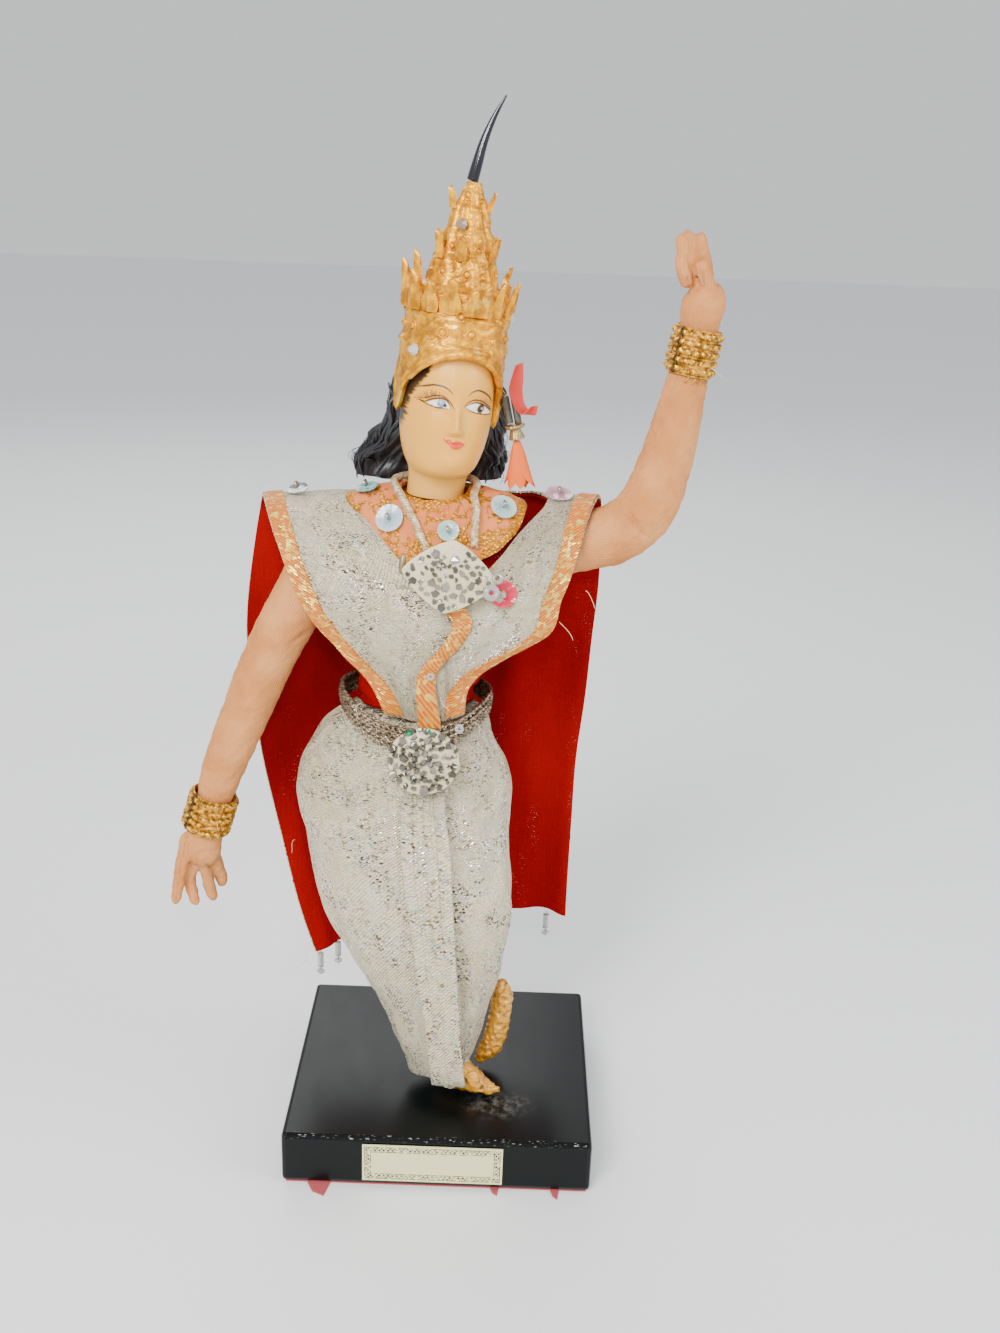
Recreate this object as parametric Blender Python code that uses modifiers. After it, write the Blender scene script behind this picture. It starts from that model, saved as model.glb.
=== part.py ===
# Dancer doll: a stuffed cloth figure in silver brocade with a red-lined cape,
# a moulded head and a gilded crown, on a black block.
# The figure's pose and proportions are given in units of one 265th of its height,
# measured from the underside of the block that it stands on.

import math

import bmesh
import bpy
import numpy as np
from mathutils import Matrix, Vector

# Driving dimensions in metres
FIGURE_HEIGHT = 0.265
BLOCK_WIDTH = 0.085
BLOCK_DEPTH = 0.074
BLOCK_HEIGHT = 0.0155
BLOCK_EDGE = 0.0012
FELT_THICKNESS = 0.0005
FELT_INSET = 0.0010
FELT_SCRAP = 0.0045
LABEL_WIDTH = 0.0384
LABEL_HEIGHT = 0.0118
LABEL_THICKNESS = 0.0003
LABEL_OFFSET = 0.0010
GAP = 0.0003
LINING_THICKNESS = 0.0004
BROCADE_THICKNESS = 0.0005
RIBBON_THICKNESS = 0.0005
RIBBON_WIDTH = 0.0048
COLLAR_THICKNESS = 0.0009
BELT_HEIGHT = 0.0056
BELT_THICKNESS = 0.0019
BUCKLE_RADIUS = 0.0090
BUCKLE_THICKNESS = 0.0026
PENDANT_WIDTH = 0.0225
PENDANT_HEIGHT = 0.0175
PENDANT_THICKNESS = 0.0020
CORD_RADIUS = 0.0009
CUFF_HEIGHT = 0.0106
CUFF_THICKNESS = 0.0007
CUFF_ROWS = 5
SEQUIN_RADIUS = 0.0035
SEQUIN_THICKNESS = 0.0004
BEAD_RADIUS = 0.0010
STONE_RADIUS = 0.0014
BOSS_RADIUS = 0.0016
BUGLE_RADIUS = 0.0009
HORN_RADIUS = 0.0014
FINGER_RADIUS = 0.0016

# The figure's own unit, and the height of its soles in that unit
UNIT = FIGURE_HEIGHT / 265
SOLE = 16.6
BLOCK_TOP = FELT_THICKNESS + GAP + BLOCK_HEIGHT
FIGURE_BASE = BLOCK_TOP + GAP

for old in list(bpy.data.objects):
    bpy.data.objects.remove(old)
doll = bpy.data.collections.new("dancer_doll")
bpy.context.scene.collection.children.link(doll)
cutters = bpy.data.collections.new("cutters")
bpy.context.scene.collection.children.link(cutters)


def at(x, y, z):
    """A place on the figure, from its own units to metres."""
    return Vector((x * UNIT, y * UNIT, FIGURE_BASE + (z - SOLE) * UNIT))


def material(name, colour, roughness, metallic=0.0):
    made = bpy.data.materials.get(name)
    if made:
        return made
    made = bpy.data.materials.new(name)
    made.use_nodes = True
    shader = made.node_tree.nodes["Principled BSDF"]
    shader.inputs["Base Color"].default_value = (*colour, 1)
    shader.inputs["Roughness"].default_value = roughness
    shader.inputs["Metallic"].default_value = metallic
    return made


BROCADE = material("silver_brocade", (0.72, 0.70, 0.64), 0.45, 0.3)
RED_CLOTH = material("red_cotton", (0.55, 0.02, 0.02), 0.85)
RIBBON = material("gold_ribbon", (0.80, 0.42, 0.06), 0.4, 0.4)
KNIT = material("peach_knit", (0.78, 0.52, 0.38), 0.9)
GILT = material("gilt", (0.85, 0.58, 0.14), 0.35, 0.6)
FOIL = material("gold_foil", (0.85, 0.45, 0.03), 0.35, 0.5)
BRAID = material("gold_braid", (0.62, 0.42, 0.12), 0.35, 0.7)
DARK_BRAID = material("dark_braid", (0.33, 0.27, 0.18), 0.4, 0.7)
FELT = material("orange_felt", (0.85, 0.42, 0.22), 0.9)
SEQUIN = material("pale_sequin", (0.48, 0.66, 0.62), 0.25)
GLASS = material("grey_glass", (0.45, 0.46, 0.45), 0.08)
PLATE = material("chip_plate", (0.42, 0.40, 0.34), 0.3)
SKIN = material("painted_face", (0.92, 0.78, 0.50), 0.35)
HAIR = material("black_hair", (0.01, 0.01, 0.012), 0.4)
LACQUER = material("black_lacquer", (0.01, 0.012, 0.012), 0.2)
PALE_FOIL = material("pale_foil", (0.82, 0.76, 0.48), 0.3, 0.5)
BRASS = material("old_brass", (0.42, 0.34, 0.16), 0.4, 0.9)
PETAL = material("orange_petal", (0.95, 0.25, 0.05), 0.6)


def show(name, mesh, finish, place=doll):
    """Adds a mesh to the scene as a named, finished object."""
    mesh.materials.clear()
    mesh.materials.append(finish)
    made = bpy.data.objects.new(name, mesh)
    place.objects.link(made)
    return made


def tool(made):
    """Sets an object aside as a cutter or a piece to be joined."""
    for home in list(made.users_collection):
        home.objects.unlink(made)
    cutters.objects.link(made)
    made.hide_render = True
    made.display_type = "WIRE"
    return made


def combine(target, other, operation):
    """Cuts one body from another, or joins it on."""
    tool(other)
    change = target.modifiers.new(operation.lower(), "BOOLEAN")
    change.operation = operation
    change.solver = "EXACT"
    change.object = other


def smooth_rows(rows, count):
    """A smooth curve through rows of numbers, read at even steps."""
    rows = np.array(rows, float)
    ends = np.vstack([2 * rows[0] - rows[1], rows, 2 * rows[-1] - rows[-2]])
    made = []
    for place in np.linspace(0, len(rows) - 1, count):
        i = min(int(place), len(rows) - 2)
        t = place - i
        a, b, c, d = ends[i : i + 4]
        cubic = (2 * a - 5 * b + 4 * c - d) * t * t + (3 * b - a - 3 * c + d) * t**3
        made.append(0.5 * (2 * b + (c - a) * t + cubic))
    return np.array(made)


def body_of_rings(name, rings, finish, ring_closed=False):
    """A closed body lofted through rings of points, capped or joined end to end."""
    form = bmesh.new()
    levels = [[form.verts.new(p) for p in ring] for ring in rings]
    pairs = list(zip(levels, levels[1:]))
    if ring_closed:
        pairs.append((levels[-1], levels[0]))
    else:
        form.faces.new(levels[0][::-1])
        form.faces.new(levels[-1])
    for low, high in pairs:
        for i in range(len(low)):
            j = (i + 1) % len(low)
            form.faces.new((low[i], low[j], high[j], high[i]))
    bmesh.ops.recalc_face_normals(form, faces=form.faces)
    mesh = bpy.data.meshes.new(name)
    form.to_mesh(mesh)
    form.free()
    mesh.shade_smooth()
    mesh.set_sharp_from_angle(angle=math.radians(45))
    return show(name, mesh, finish)


def oval(x, y, z, half_width, half_depth, sides, relief=None, grow=0.0):
    """One level ring round the figure, with a relief in units added outwards."""
    ring = []
    for i in range(sides):
        turn = 2 * math.pi * i / sides
        out = grow / UNIT + (relief(turn, z) if relief else 0)
        across = x + (half_width + out) * math.cos(turn)
        along = y + (half_depth + out) * math.sin(turn)
        ring.append(at(across, along, z))
    return ring


def box(name, low, high, finish, edge=0.0):
    form = bmesh.new()
    bmesh.ops.create_cube(form, size=1)
    size = Vector(high) - Vector(low)
    middle = (Vector(high) + Vector(low)) / 2
    bmesh.ops.scale(form, vec=size, verts=form.verts)
    bmesh.ops.translate(form, vec=middle, verts=form.verts)
    mesh = bpy.data.meshes.new(name)
    form.to_mesh(mesh)
    form.free()
    made = show(name, mesh, finish)
    if edge:
        round_edges = made.modifiers.new("edges", "BEVEL")
        round_edges.width = edge
        round_edges.segments = 2
    return made


def tube(name, points, radii, finish, sides_level=2):
    """A tube along points, with a radius at each, made a welded mesh."""
    curve = bpy.data.curves.new(name, "CURVE")
    curve.dimensions = "3D"
    curve.bevel_depth = 1.0
    curve.bevel_resolution = sides_level
    curve.use_fill_caps = True
    line = curve.splines.new("POLY")
    line.points.add(len(points) - 1)
    for knot, place, radius in zip(line.points, points, radii):
        knot.co = (*place, 1)
        knot.radius = radius
    path = bpy.data.objects.new(name, curve)
    doll.objects.link(path)
    seen = path.evaluated_get(bpy.context.evaluated_depsgraph_get())
    mesh = bpy.data.meshes.new_from_object(seen)
    form = bmesh.new()
    form.from_mesh(mesh)
    bmesh.ops.remove_doubles(form, verts=form.verts, dist=0.00001)
    bmesh.ops.recalc_face_normals(form, faces=form.faces)
    form.to_mesh(mesh)
    form.free()
    bpy.data.objects.remove(path)
    mesh.shade_smooth()
    mesh.set_sharp_from_angle(angle=math.radians(45))
    return show(name, mesh, finish)


def upright(direction, face=(0, -1, 0)):
    """A turn that takes +Z to a direction, with +Y kept away from the viewer."""
    up = Vector(direction).normalized()
    side = up.cross(Vector(face)).normalized()
    back = up.cross(side)
    return Matrix((side, back, up)).transposed().to_4x4()


def disc(name, centre, direction, radius, thickness, finish, sides=9, dome=0.0):
    """A small round plate or domed stone, its underside at the centre."""
    form = bmesh.new()
    bmesh.ops.create_cone(
        form,
        cap_ends=True,
        segments=sides,
        radius1=radius,
        radius2=radius * (1 - dome),
        depth=thickness,
    )
    bmesh.ops.translate(form, vec=(0, 0, thickness / 2), verts=form.verts)
    mesh = bpy.data.meshes.new(name)
    form.to_mesh(mesh)
    form.free()
    made = show(name, mesh, finish)
    made.matrix_world = Matrix.Translation(centre) @ upright(direction)
    return made


def bead(name, centre, radius, finish, stretch=1.0):
    form = bmesh.new()
    bmesh.ops.create_uvsphere(form, u_segments=6, v_segments=4, radius=radius)
    bmesh.ops.scale(form, vec=(1, 1, stretch), verts=form.verts)
    mesh = bpy.data.meshes.new(name)
    form.to_mesh(mesh)
    form.free()
    mesh.shade_smooth()
    made = show(name, mesh, finish)
    made.location = centre
    return made


def make_base():
    half_width = BLOCK_WIDTH / 2
    half_depth = BLOCK_DEPTH / 2
    low = (-half_width, -half_depth, FELT_THICKNESS + GAP)
    high = (half_width, half_depth, BLOCK_TOP)
    box("base_block", low, high, LACQUER, BLOCK_EDGE)
    middle = (low[2] + BLOCK_TOP) / 2
    face = -half_depth - GAP
    left = -LABEL_OFFSET - LABEL_WIDTH / 2
    box(
        "base_label",
        (left, face - LABEL_THICKNESS, middle - LABEL_HEIGHT / 2),
        (left + LABEL_WIDTH, face, middle + LABEL_HEIGHT / 2),
        PALE_FOIL,
    )


def felt_outline():
    """The pad's edge, front left corner first, with torn scraps that stick out."""
    x = BLOCK_WIDTH / 2 - FELT_INSET
    y = BLOCK_DEPTH / 2 - FELT_INSET
    front_scraps = ((0.07, 0.15, 1.0), (0.68, 0.71, 0.45), (0.88, 0.91, 0.6))
    points = [(-x, -y)]
    for start, end, share in front_scraps:
        first = -x + 2 * x * start
        last = -x + 2 * x * end
        drop = FELT_INSET + FELT_SCRAP * share
        points.append((first, -y))
        points.append((first + (last - first) * 0.3, -y - drop * 0.7))
        points.append((first + (last - first) * 0.8, -y - drop))
        points.append((last, -y))
    points += [(x, -y), (x, y), (-x, y)]
    return points


def make_felt():
    curve = bpy.data.curves.new("base_felt", "CURVE")
    curve.dimensions = "2D"
    curve.fill_mode = "BOTH"
    curve.extrude = FELT_THICKNESS / 2
    outline = felt_outline()
    line = curve.splines.new("POLY")
    line.points.add(len(outline) - 1)
    for knot, (x, y) in zip(line.points, outline):
        knot.co = (x, y, 0, 1)
    line.use_cyclic_u = True
    made = bpy.data.objects.new("base_felt", curve)
    made.data.materials.append(RED_CLOTH)
    doll.objects.link(made)
    made.location.z = FELT_THICKNESS / 2


def shoe(name, sections, sides=9):
    """A soft shoe lofted along its length from ovals set across its run."""
    rows = smooth_rows(sections, 2 * len(sections) - 3)
    rings = []
    for i, (x, y, z, wide, tall) in enumerate(rows):
        before = Vector(rows[max(i - 1, 0)][:3])
        after = Vector(rows[min(i + 1, len(rows) - 1)][:3])
        run = (after - before).normalized()
        side = run.cross(Vector((0, 0, 1))).normalized()
        up = side.cross(run)
        ring = []
        for k in range(sides):
            turn = 2 * math.pi * k / sides
            out = side * (wide * math.cos(turn)) + up * (tall * math.sin(turn))
            ring.append(at(x + out.x, y + out.y, z + out.z))
        rings.append(ring)
    return body_of_rings(name, rings, FOIL)


def make_shoes():
    # rows: place of the middle, half width and half height
    shoe(
        "front_shoe",
        [
            (-2.5, -12.5, 20.6, 1.2, 1.6),
            (0.5, -13.2, 20.8, 3.2, 3.6),
            (4.5, -14.2, 21.8, 3.9, 4.9),
            (8.5, -15.3, 20.6, 3.8, 3.8),
            (12.5, -16.3, 18.9, 2.8, 2.2),
            (15.2, -16.9, 18.5, 1.6, 1.5),
            (16.8, -17.2, 19.3, 0.7, 0.9),
        ],
    )
    shoe(
        "back_shoe",
        [
            (9.3, -4.6, 19.2, 1.0, 0.9),
            (11.2, -3.9, 20.2, 2.2, 2.3),
            (14.0, -2.9, 23.5, 3.3, 3.4),
            (15.6, -1.6, 28.5, 3.4, 3.5),
            (16.4, -0.4, 34.5, 3.3, 3.0),
            (16.8, 0.8, 39.5, 3.0, 2.7),
            (16.0, 1.6, 43.2, 1.4, 1.4),
        ],
    )


def trouser_folds(turn, z):
    """Soft gathers: fine at the waist, wide sweeping ones round the hips and legs."""
    gather = 0.5 * math.cos(14 * turn) * math.exp(-(((z - 122) / 9) ** 2))
    front = math.exp(-(((turn - 1.5 * math.pi) / 0.8) ** 2))
    sweep = 0.7 * math.cos(9 * turn + 0.05 * z) * front
    return gather + sweep * math.exp(-(((z - 70) / 42) ** 2))


def trouser_rings(grow=0.0, sides=22):
    # rows: height, left edge, right edge, front and back
    rows = smooth_rows(
        [
            (22.3, -9.7, 7.0, -18.5, -1.0),
            (31.0, -13.6, 10.2, -19.0, 2.0),
            (44.0, -18.8, 13.4, -20.5, 4.5),
            (58.0, -27.0, 16.6, -23.0, 8.0),
            (74.0, -34.6, 18.4, -26.0, 11.5),
            (92.0, -38.3, 16.4, -28.0, 14.5),
            (106.0, -41.0, 16.2, -28.5, 15.5),
            (116.0, -39.2, 14.3, -27.0, 14.0),
            (124.5, -34.0, 10.4, -22.5, 10.0),
            (130.4, -27.0, 8.4, -17.5, 6.5),
        ],
        14,
    )
    rings = []
    for z, left, right, front, back in rows:
        middle = ((left + right) / 2, (front + back) / 2)
        half = ((right - left) / 2, (back - front) / 2)
        rings.append(oval(*middle, z, *half, sides, trouser_folds, grow))
    return rings


def make_trousers():
    trousers = body_of_rings("trousers", trouser_rings(), BROCADE)
    for name in ("front_shoe", "back_shoe"):
        seat = bpy.data.objects[name].copy()
        seat.data = seat.data.copy()
        seat.name = name + "_seat"
        doll.objects.link(seat)
        thicken = seat.modifiers.new("clearance", "DISPLACE")
        thicken.strength = 1.5 * GAP
        thicken.mid_level = 0
        combine(trousers, seat, "DIFFERENCE")
    bead("hip_bead", at(-26.2, -26.6, 113.3), BEAD_RADIUS * 0.9, GLASS)


def make_pleat_panel():
    """The pleated cloth that hangs down the front, from under the buckle."""
    rows = smooth_rows(
        [
            (23.0, -2.4, 6.2, -21.0),
            (40.0, -3.6, 5.0, -22.8),
            (60.0, -7.0, 3.4, -25.4),
            (80.0, -9.6, 2.8, -28.2),
            (100.0, -10.8, 2.0, -29.8),
            (112.0, -10.2, 0.8, -28.9),
            (117.0, -9.6, 0.0, -27.4),
        ],
        9,
    )
    columns = 7
    rings = []
    for z, left, right, y in rows:
        ring = []
        for side in (0, 1):
            for i in range(columns):
                share = i / (columns - 1)
                share = 1 - share if side else share
                pleat = 0.45 * math.cos(6 * math.pi * share)
                x = left + (right - left) * share
                ring.append(at(x, y - pleat - (0 if side else 0.9), z))
        rings.append(ring)
    body_of_rings("pleat_panel", rings, BROCADE)


def torso_rings(grow=0.0, sides=18):
    # rows: height, middle across, middle back, half width, half depth
    rows = smooth_rows(
        [
            (130.8, -9.0, -5.0, 15.6, 10.6),
            (140.0, -9.0, -5.0, 15.8, 10.8),
            (150.0, -6.8, -5.0, 19.0, 12.6),
            (160.0, -4.2, -4.8, 22.4, 13.8),
            (168.0, -3.6, -4.5, 22.8, 13.0),
            (176.0, -3.6, -4.2, 22.4, 11.4),
            (182.0, -3.8, -4.0, 20.0, 9.2),
            (185.4, -4.2, -4.0, 13.0, 7.6),
            (186.4, -4.4, -4.0, 8.6, 6.6),
        ],
        10,
    )
    rows[:, 0] += np.linspace(-grow, grow, len(rows)) / UNIT
    return [oval(x, y, z, a, b, sides, None, grow) for z, x, y, a, b in rows]


def make_torso():
    body_of_rings("torso", torso_rings(), RED_CLOTH)


def cut_by_torso(target):
    name = target.name + "_torso_seat"
    combine(target, body_of_rings(name, torso_rings(GAP), RED_CLOTH), "DIFFERENCE")


# The shawl's run from the waist over the shoulders to the hem of the cape.
# Each row: outer left edge, left and right inner edges, outer right edge, bow.
SHAWL_ROWS = [
    ((-16.0, -16.6, 133.0), (-6.6, -17.8, 131.6), (-4.6, -17.8, 131.6), (3.6, -16.6, 134.0), 0.0),
    ((-20.4, -16.6, 142.0), (-6.2, -19.0, 141.0), (-4.2, -19.0, 141.0), (5.0, -17.6, 142.0), -0.3),
    ((-27.0, -16.2, 149.4), (-4.0, -20.6, 148.5), (-2.0, -20.6, 148.5), (11.5, -17.4, 149.2), -1.5),
    ((-33.8, -16.2, 157.0), (0.0, -21.6, 156.0), (2.0, -21.6, 156.0), (24.0, -16.4, 157.0), -3.0),
    ((-38.6, -16.6, 165.5), (-1.0, -20.8, 164.0), (1.0, -20.8, 164.0), (27.2, -16.4, 166.0), -3.4),
    ((-42.4, -16.0, 175.0), (-13.6, -17.8, 174.5), (10.6, -18.0, 174.0), (30.4, -16.0, 175.5), -1.4),
    ((-45.4, -13.5, 181.5), (-20.4, -13.2, 181.0), (16.6, -13.6, 180.6), (32.4, -13.6, 182.6), -0.5),
    ((-47.6, -8.0, 184.8), (-27.0, -8.0, 185.2), (22.5, -8.0, 186.2), (34.6, -8.0, 187.0), 0.0),
    ((-49.2, -1.0, 184.4), (-26.4, 0.0, 186.0), (22.0, 0.0, 186.6), (36.4, -1.0, 186.8), 0.0),
    ((-50.8, 4.6, 181.0), (-17.0, 6.8, 185.0), (12.0, 6.8, 185.6), (37.2, 5.0, 183.5), 0.6),
    ((-52.4, 6.0, 174.0), (-4.0, 9.6, 180.0), (-4.0, 9.6, 180.0), (37.5, 7.0, 177.0), 1.2),
    ((-54.0, 5.0, 162.0), (-5.0, 11.5, 164.0), (-5.0, 11.5, 164.0), (38.0, 9.5, 162.0), 1.8),
    ((-55.4, 5.0, 146.0), (-7.0, 15.0, 146.0), (-7.0, 15.0, 146.0), (37.3, 13.0, 145.0), 2.2),
    ((-54.4, 6.0, 128.0), (-8.0, 18.0, 127.0), (-8.0, 18.0, 127.0), (36.6, 16.5, 127.0), 2.4),
    ((-52.3, 7.0, 108.0), (-8.0, 20.4, 107.0), (-8.0, 20.4, 107.0), (35.2, 19.0, 107.0), 2.4),
    ((-48.2, 8.0, 86.0), (-7.0, 21.6, 87.0), (-7.0, 21.6, 87.0), (35.0, 20.4, 87.0), 2.2),
    ((-44.0, 8.6, 64.0), (-6.0, 22.6, 68.0), (-6.0, 22.6, 68.0), (34.9, 21.0, 69.0), 2.0),
    ((-38.8, 9.0, 45.6), (-6.0, 23.2, 53.6), (-6.0, 23.2, 53.6), (35.0, 21.4, 54.4), 1.8),
]
CREST_ROW = 8
JOINED_ROW = 10
LAST_ROW = len(SHAWL_ROWS) - 1


def shawl_edges(v):
    """The four edge points and the bow of the shawl at row v, in units."""
    flat = [[*a, *b, *c, *d, bow] for a, b, c, d, bow in SHAWL_ROWS]
    i = min(int(v), LAST_ROW - 1)
    near = flat[max(i - 1, 0) : i + 3]
    start = i - max(i - 1, 0)
    row = smooth_rows(near, 24 * (len(near) - 1) + 1)[round(24 * (start + v - i))]
    return [Vector(row[k : k + 3]) for k in (0, 3, 6, 9)] + [row[12]]


def shawl_point(u, v, reach=1.0):
    """A point of the bare shawl surface, in units; u is -1 at the left edge, 1 at the right."""
    left, inner_left, inner_right, right, bow = shawl_edges(v)
    outer, inner = (left, inner_left) if u < 0 else (right, inner_right)
    share = (1 - abs(u)) * reach
    place = outer.lerp(inner, share)
    place.y += bow * math.sin(math.pi * share**1.35)
    hang = max(0.0, min(1.0, (v - JOINED_ROW) / 4))
    place.y += 0.9 * hang * math.cos(15 * u + 0.6)
    return place


def shawl_lifted(u, v, lift, reach=1.0):
    """The shawl surface raised by a real distance along its outer normal."""
    side = -1 if u < 0 else 1
    step_u = 0.04
    u0 = max(abs(u) - step_u, 0.001) * side
    u1 = min(abs(u) + step_u, 1.0) * side
    v0 = max(v - 0.25, 0)
    v1 = min(v + 0.25, LAST_ROW)
    across = shawl_point(u1, v, reach) - shawl_point(u0, v, reach)
    along = shawl_point(u, v1, reach) - shawl_point(u, v0, reach)
    normal = across.cross(along).normalized() * side
    return at(*shawl_point(u, v, reach)) + normal * lift


SIDE_COLUMNS = 5
SHAWL_STEPS = (0, 1, 2, 3, 4, 5, 6, 7, 8, 8.5, 9, 10, 11, 12, 13, 14, 15.5, 17)


def shawl_sheet(name, lift, thickness, finish, steps=SHAWL_STEPS, reach=1.0):
    """The shawl as one closed sheet, slit down the front to the back of the neck."""
    form = bmesh.new()
    grid = []
    for v in steps:
        row = []
        for i in range(SIDE_COLUMNS + 1):
            u = -1 + i / SIDE_COLUMNS
            row.append(form.verts.new(shawl_lifted(min(u, -0.0001), v, lift, reach)))
        for i in range(SIDE_COLUMNS + 1):
            u = max(i / SIDE_COLUMNS, 0.0001)
            if i == 0 and v >= JOINED_ROW:
                row.append(row[-1])
            else:
                row.append(form.verts.new(shawl_lifted(u, v, lift, reach)))
        grid.append(row)
    for low, high in zip(grid, grid[1:]):
        for i in range(2 * SIDE_COLUMNS + 1):
            if i != SIDE_COLUMNS:
                corners = (low[i], low[i + 1], high[i + 1], high[i])
                form.faces.new(dict.fromkeys(corners))
    mesh = bpy.data.meshes.new(name)
    form.to_mesh(mesh)
    form.free()
    mesh.shade_smooth()
    made = show(name, mesh, finish)
    wall = made.modifiers.new("thickness", "SOLIDIFY")
    wall.thickness = thickness
    wall.offset = 1
    return made


LINING_LIFT = 0.0
BROCADE_LIFT = LINING_THICKNESS + GAP
RIBBON_LIFT = BROCADE_LIFT + BROCADE_THICKNESS + GAP


def ribbon(name, places):
    """A flat ribbon through pairs of points, lying on the brocade."""
    form = bmesh.new()
    pairs = [[form.verts.new(p) for p in pair] for pair in places]
    for (a, b), (c, d) in zip(pairs, pairs[1:]):
        form.faces.new((a, b, d, c))
    mesh = bpy.data.meshes.new(name)
    form.to_mesh(mesh)
    form.free()
    made = show(name, mesh, RIBBON)
    wall = made.modifiers.new("thickness", "SOLIDIFY")
    wall.thickness = RIBBON_THICKNESS
    wall.offset = 1
    return made


def edge_share(v, side, distance):
    """How far a distance from the outer edge reaches across one half, as a share."""
    left, inner_left, inner_right, right, bow = shawl_edges(v)
    span = (inner_left - left).length if side < 0 else (right - inner_right).length
    return min(distance / UNIT / span, 0.9)


def make_shawl():
    shawl_sheet("shawl_lining", LINING_LIFT, LINING_THICKNESS, RED_CLOTH)
    shawl_sheet("shawl_brocade", BROCADE_LIFT, BROCADE_THICKNESS, BROCADE)
    inset = GAP
    for side, name in ((-1, "shawl_trim_left"), (1, "shawl_trim_right")):
        places = []
        for v in [0.15] + list(SHAWL_STEPS[1:-1]) + [LAST_ROW - 0.1]:
            near = edge_share(v, side, inset)
            far = edge_share(v, side, inset + RIBBON_WIDTH)
            pair = [shawl_lifted(side * (1 - share), v, RIBBON_LIFT) for share in (near, far)]
            places.append(pair if side < 0 else pair[::-1])
        ribbon(name, places)
    places = []
    for i in range(1, 2 * SIDE_COLUMNS):
        u = i / SIDE_COLUMNS - 1 or 0.0001
        above = shawl_lifted(u, LAST_ROW - 1, RIBBON_LIFT)
        below = shawl_lifted(u, LAST_ROW, RIBBON_LIFT)
        fall = (below - above).length
        low = below.lerp(above, inset / fall)
        high = below.lerp(above, (inset + RIBBON_WIDTH) / fall)
        places.append([low, high])
    ribbon("shawl_trim_hem", places)


def make_front_strip():
    """The wavy ribbon down the middle of the chest, over the shawl's front edges."""
    rows = smooth_rows(
        [
            (-5.6, -20.6, 131.4),
            (-5.2, -21.2, 140.0),
            (-4.2, -22.4, 147.0),
            (-0.2, -24.2, 153.0),
            (1.9, -24.8, 158.5),
            (0.6, -24.4, 164.0),
        ],
        9,
    )
    half = RIBBON_WIDTH / 2
    places = []
    for x, y, z in rows:
        middle = at(x, y, z)
        places.append([middle + Vector((-half, 0, 0)), middle + Vector((half, 0, 0))])
    ribbon("front_strip", places)
    bead("front_pearl", at(-4.6, -23.4 - 0.9, 146.2), BEAD_RADIUS, GLASS)


def belt_place(turn, out, up):
    """A place on the belt's section; it droops in front, under the buckle."""
    front = max(0.0, -math.sin(turn))
    height = up * BELT_HEIGHT / 2 / UNIT
    grow = (GAP + out) / UNIT + 0.4
    spread = 1.8 * front - 0.22 * height
    x = -9.3 + (17.9 + grow) * math.cos(turn)
    y = -5.6 + (13.6 + spread + grow) * math.sin(turn)
    return at(x, y, 134.2 - 6.0 * front**2 - 0.6 * math.cos(turn) + height)


def make_belt():
    """A thick strap round the waist, with a small broken bead on it."""
    sides = 24
    section = ((0, -1), (BELT_THICKNESS, -0.7), (BELT_THICKNESS, 0.7), (0, 1))
    rings = []
    for i in range(sides):
        turn = 2 * math.pi * i / sides
        rings.append([belt_place(turn, out, up) for out, up in section])
    body_of_rings("belt", rings, DARK_BRAID, ring_closed=True)
    radius = BEAD_RADIUS * 1.1
    bead("belt_bead", belt_place(math.radians(-56.5), BELT_THICKNESS + GAP + radius, 0.6), radius, GLASS)


def make_buckle():
    """A round plate that lies on the belt and on the top of the pleats."""
    lean = Vector((0.03, -1.0, 0.42)).normalized()
    middle = at(-5.9, -23.9, 123.2) + lean * (BELT_THICKNESS + 2 * GAP + BUCKLE_THICKNESS / 2)
    form = bmesh.new()
    bmesh.ops.create_cone(
        form,
        cap_ends=True,
        segments=18,
        radius1=BUCKLE_RADIUS,
        radius2=BUCKLE_RADIUS * 0.93,
        depth=BUCKLE_THICKNESS,
    )
    for corner in form.verts:
        corner.co.y *= 0.93
    mesh = bpy.data.meshes.new("buckle")
    form.to_mesh(mesh)
    form.free()
    made = show("buckle", mesh, PLATE)
    made.matrix_world = Matrix.Translation(middle) @ upright(lean)
    round_edges = made.modifiers.new("edges", "BEVEL")
    round_edges.width = BUCKLE_THICKNESS / 6
    round_edges.segments = 1


NECK_MIDDLE = (-5.2, -4.8)


def collar_point(turn, share, lift):
    """The collar round the neck; share is 0 at the neck and 1 at its scalloped edge."""
    across = math.cos(turn)
    along = math.sin(turn)
    front = max(0.0, -along)
    lobes = 0.9 * abs(math.sin(3 * turn + 0.3))
    inner = Vector((8.4 * across, 7.7 * along, 188.0 + 0.3 * along - 0.9 * front))
    reach_x = (22.0 * (1 + 0.3 * front * across) if across > 0 else 22.5) - lobes
    reach_y = (13.6 if along < 0 else 9.5) + 0.4 * lobes
    drop = 185.2 - (14.0 + 0.9 * lobes) * front**1.5 - (3.2 if along > 0 else 0) * max(0, along)
    outer = Vector((reach_x * across, reach_y * along, drop))
    place = inner.lerp(outer, share)
    belly = math.sin(math.pi * share)
    place.z += 0.9 * belly
    place.y -= 1.1 * belly * front
    slope = Vector((0.35 * across, 0.8 * along * front, 1.0 - 0.55 * front)).normalized()
    return at(NECK_MIDDLE[0] + place.x, NECK_MIDDLE[1] + place.y, place.z + 1.1) + slope * lift


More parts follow.
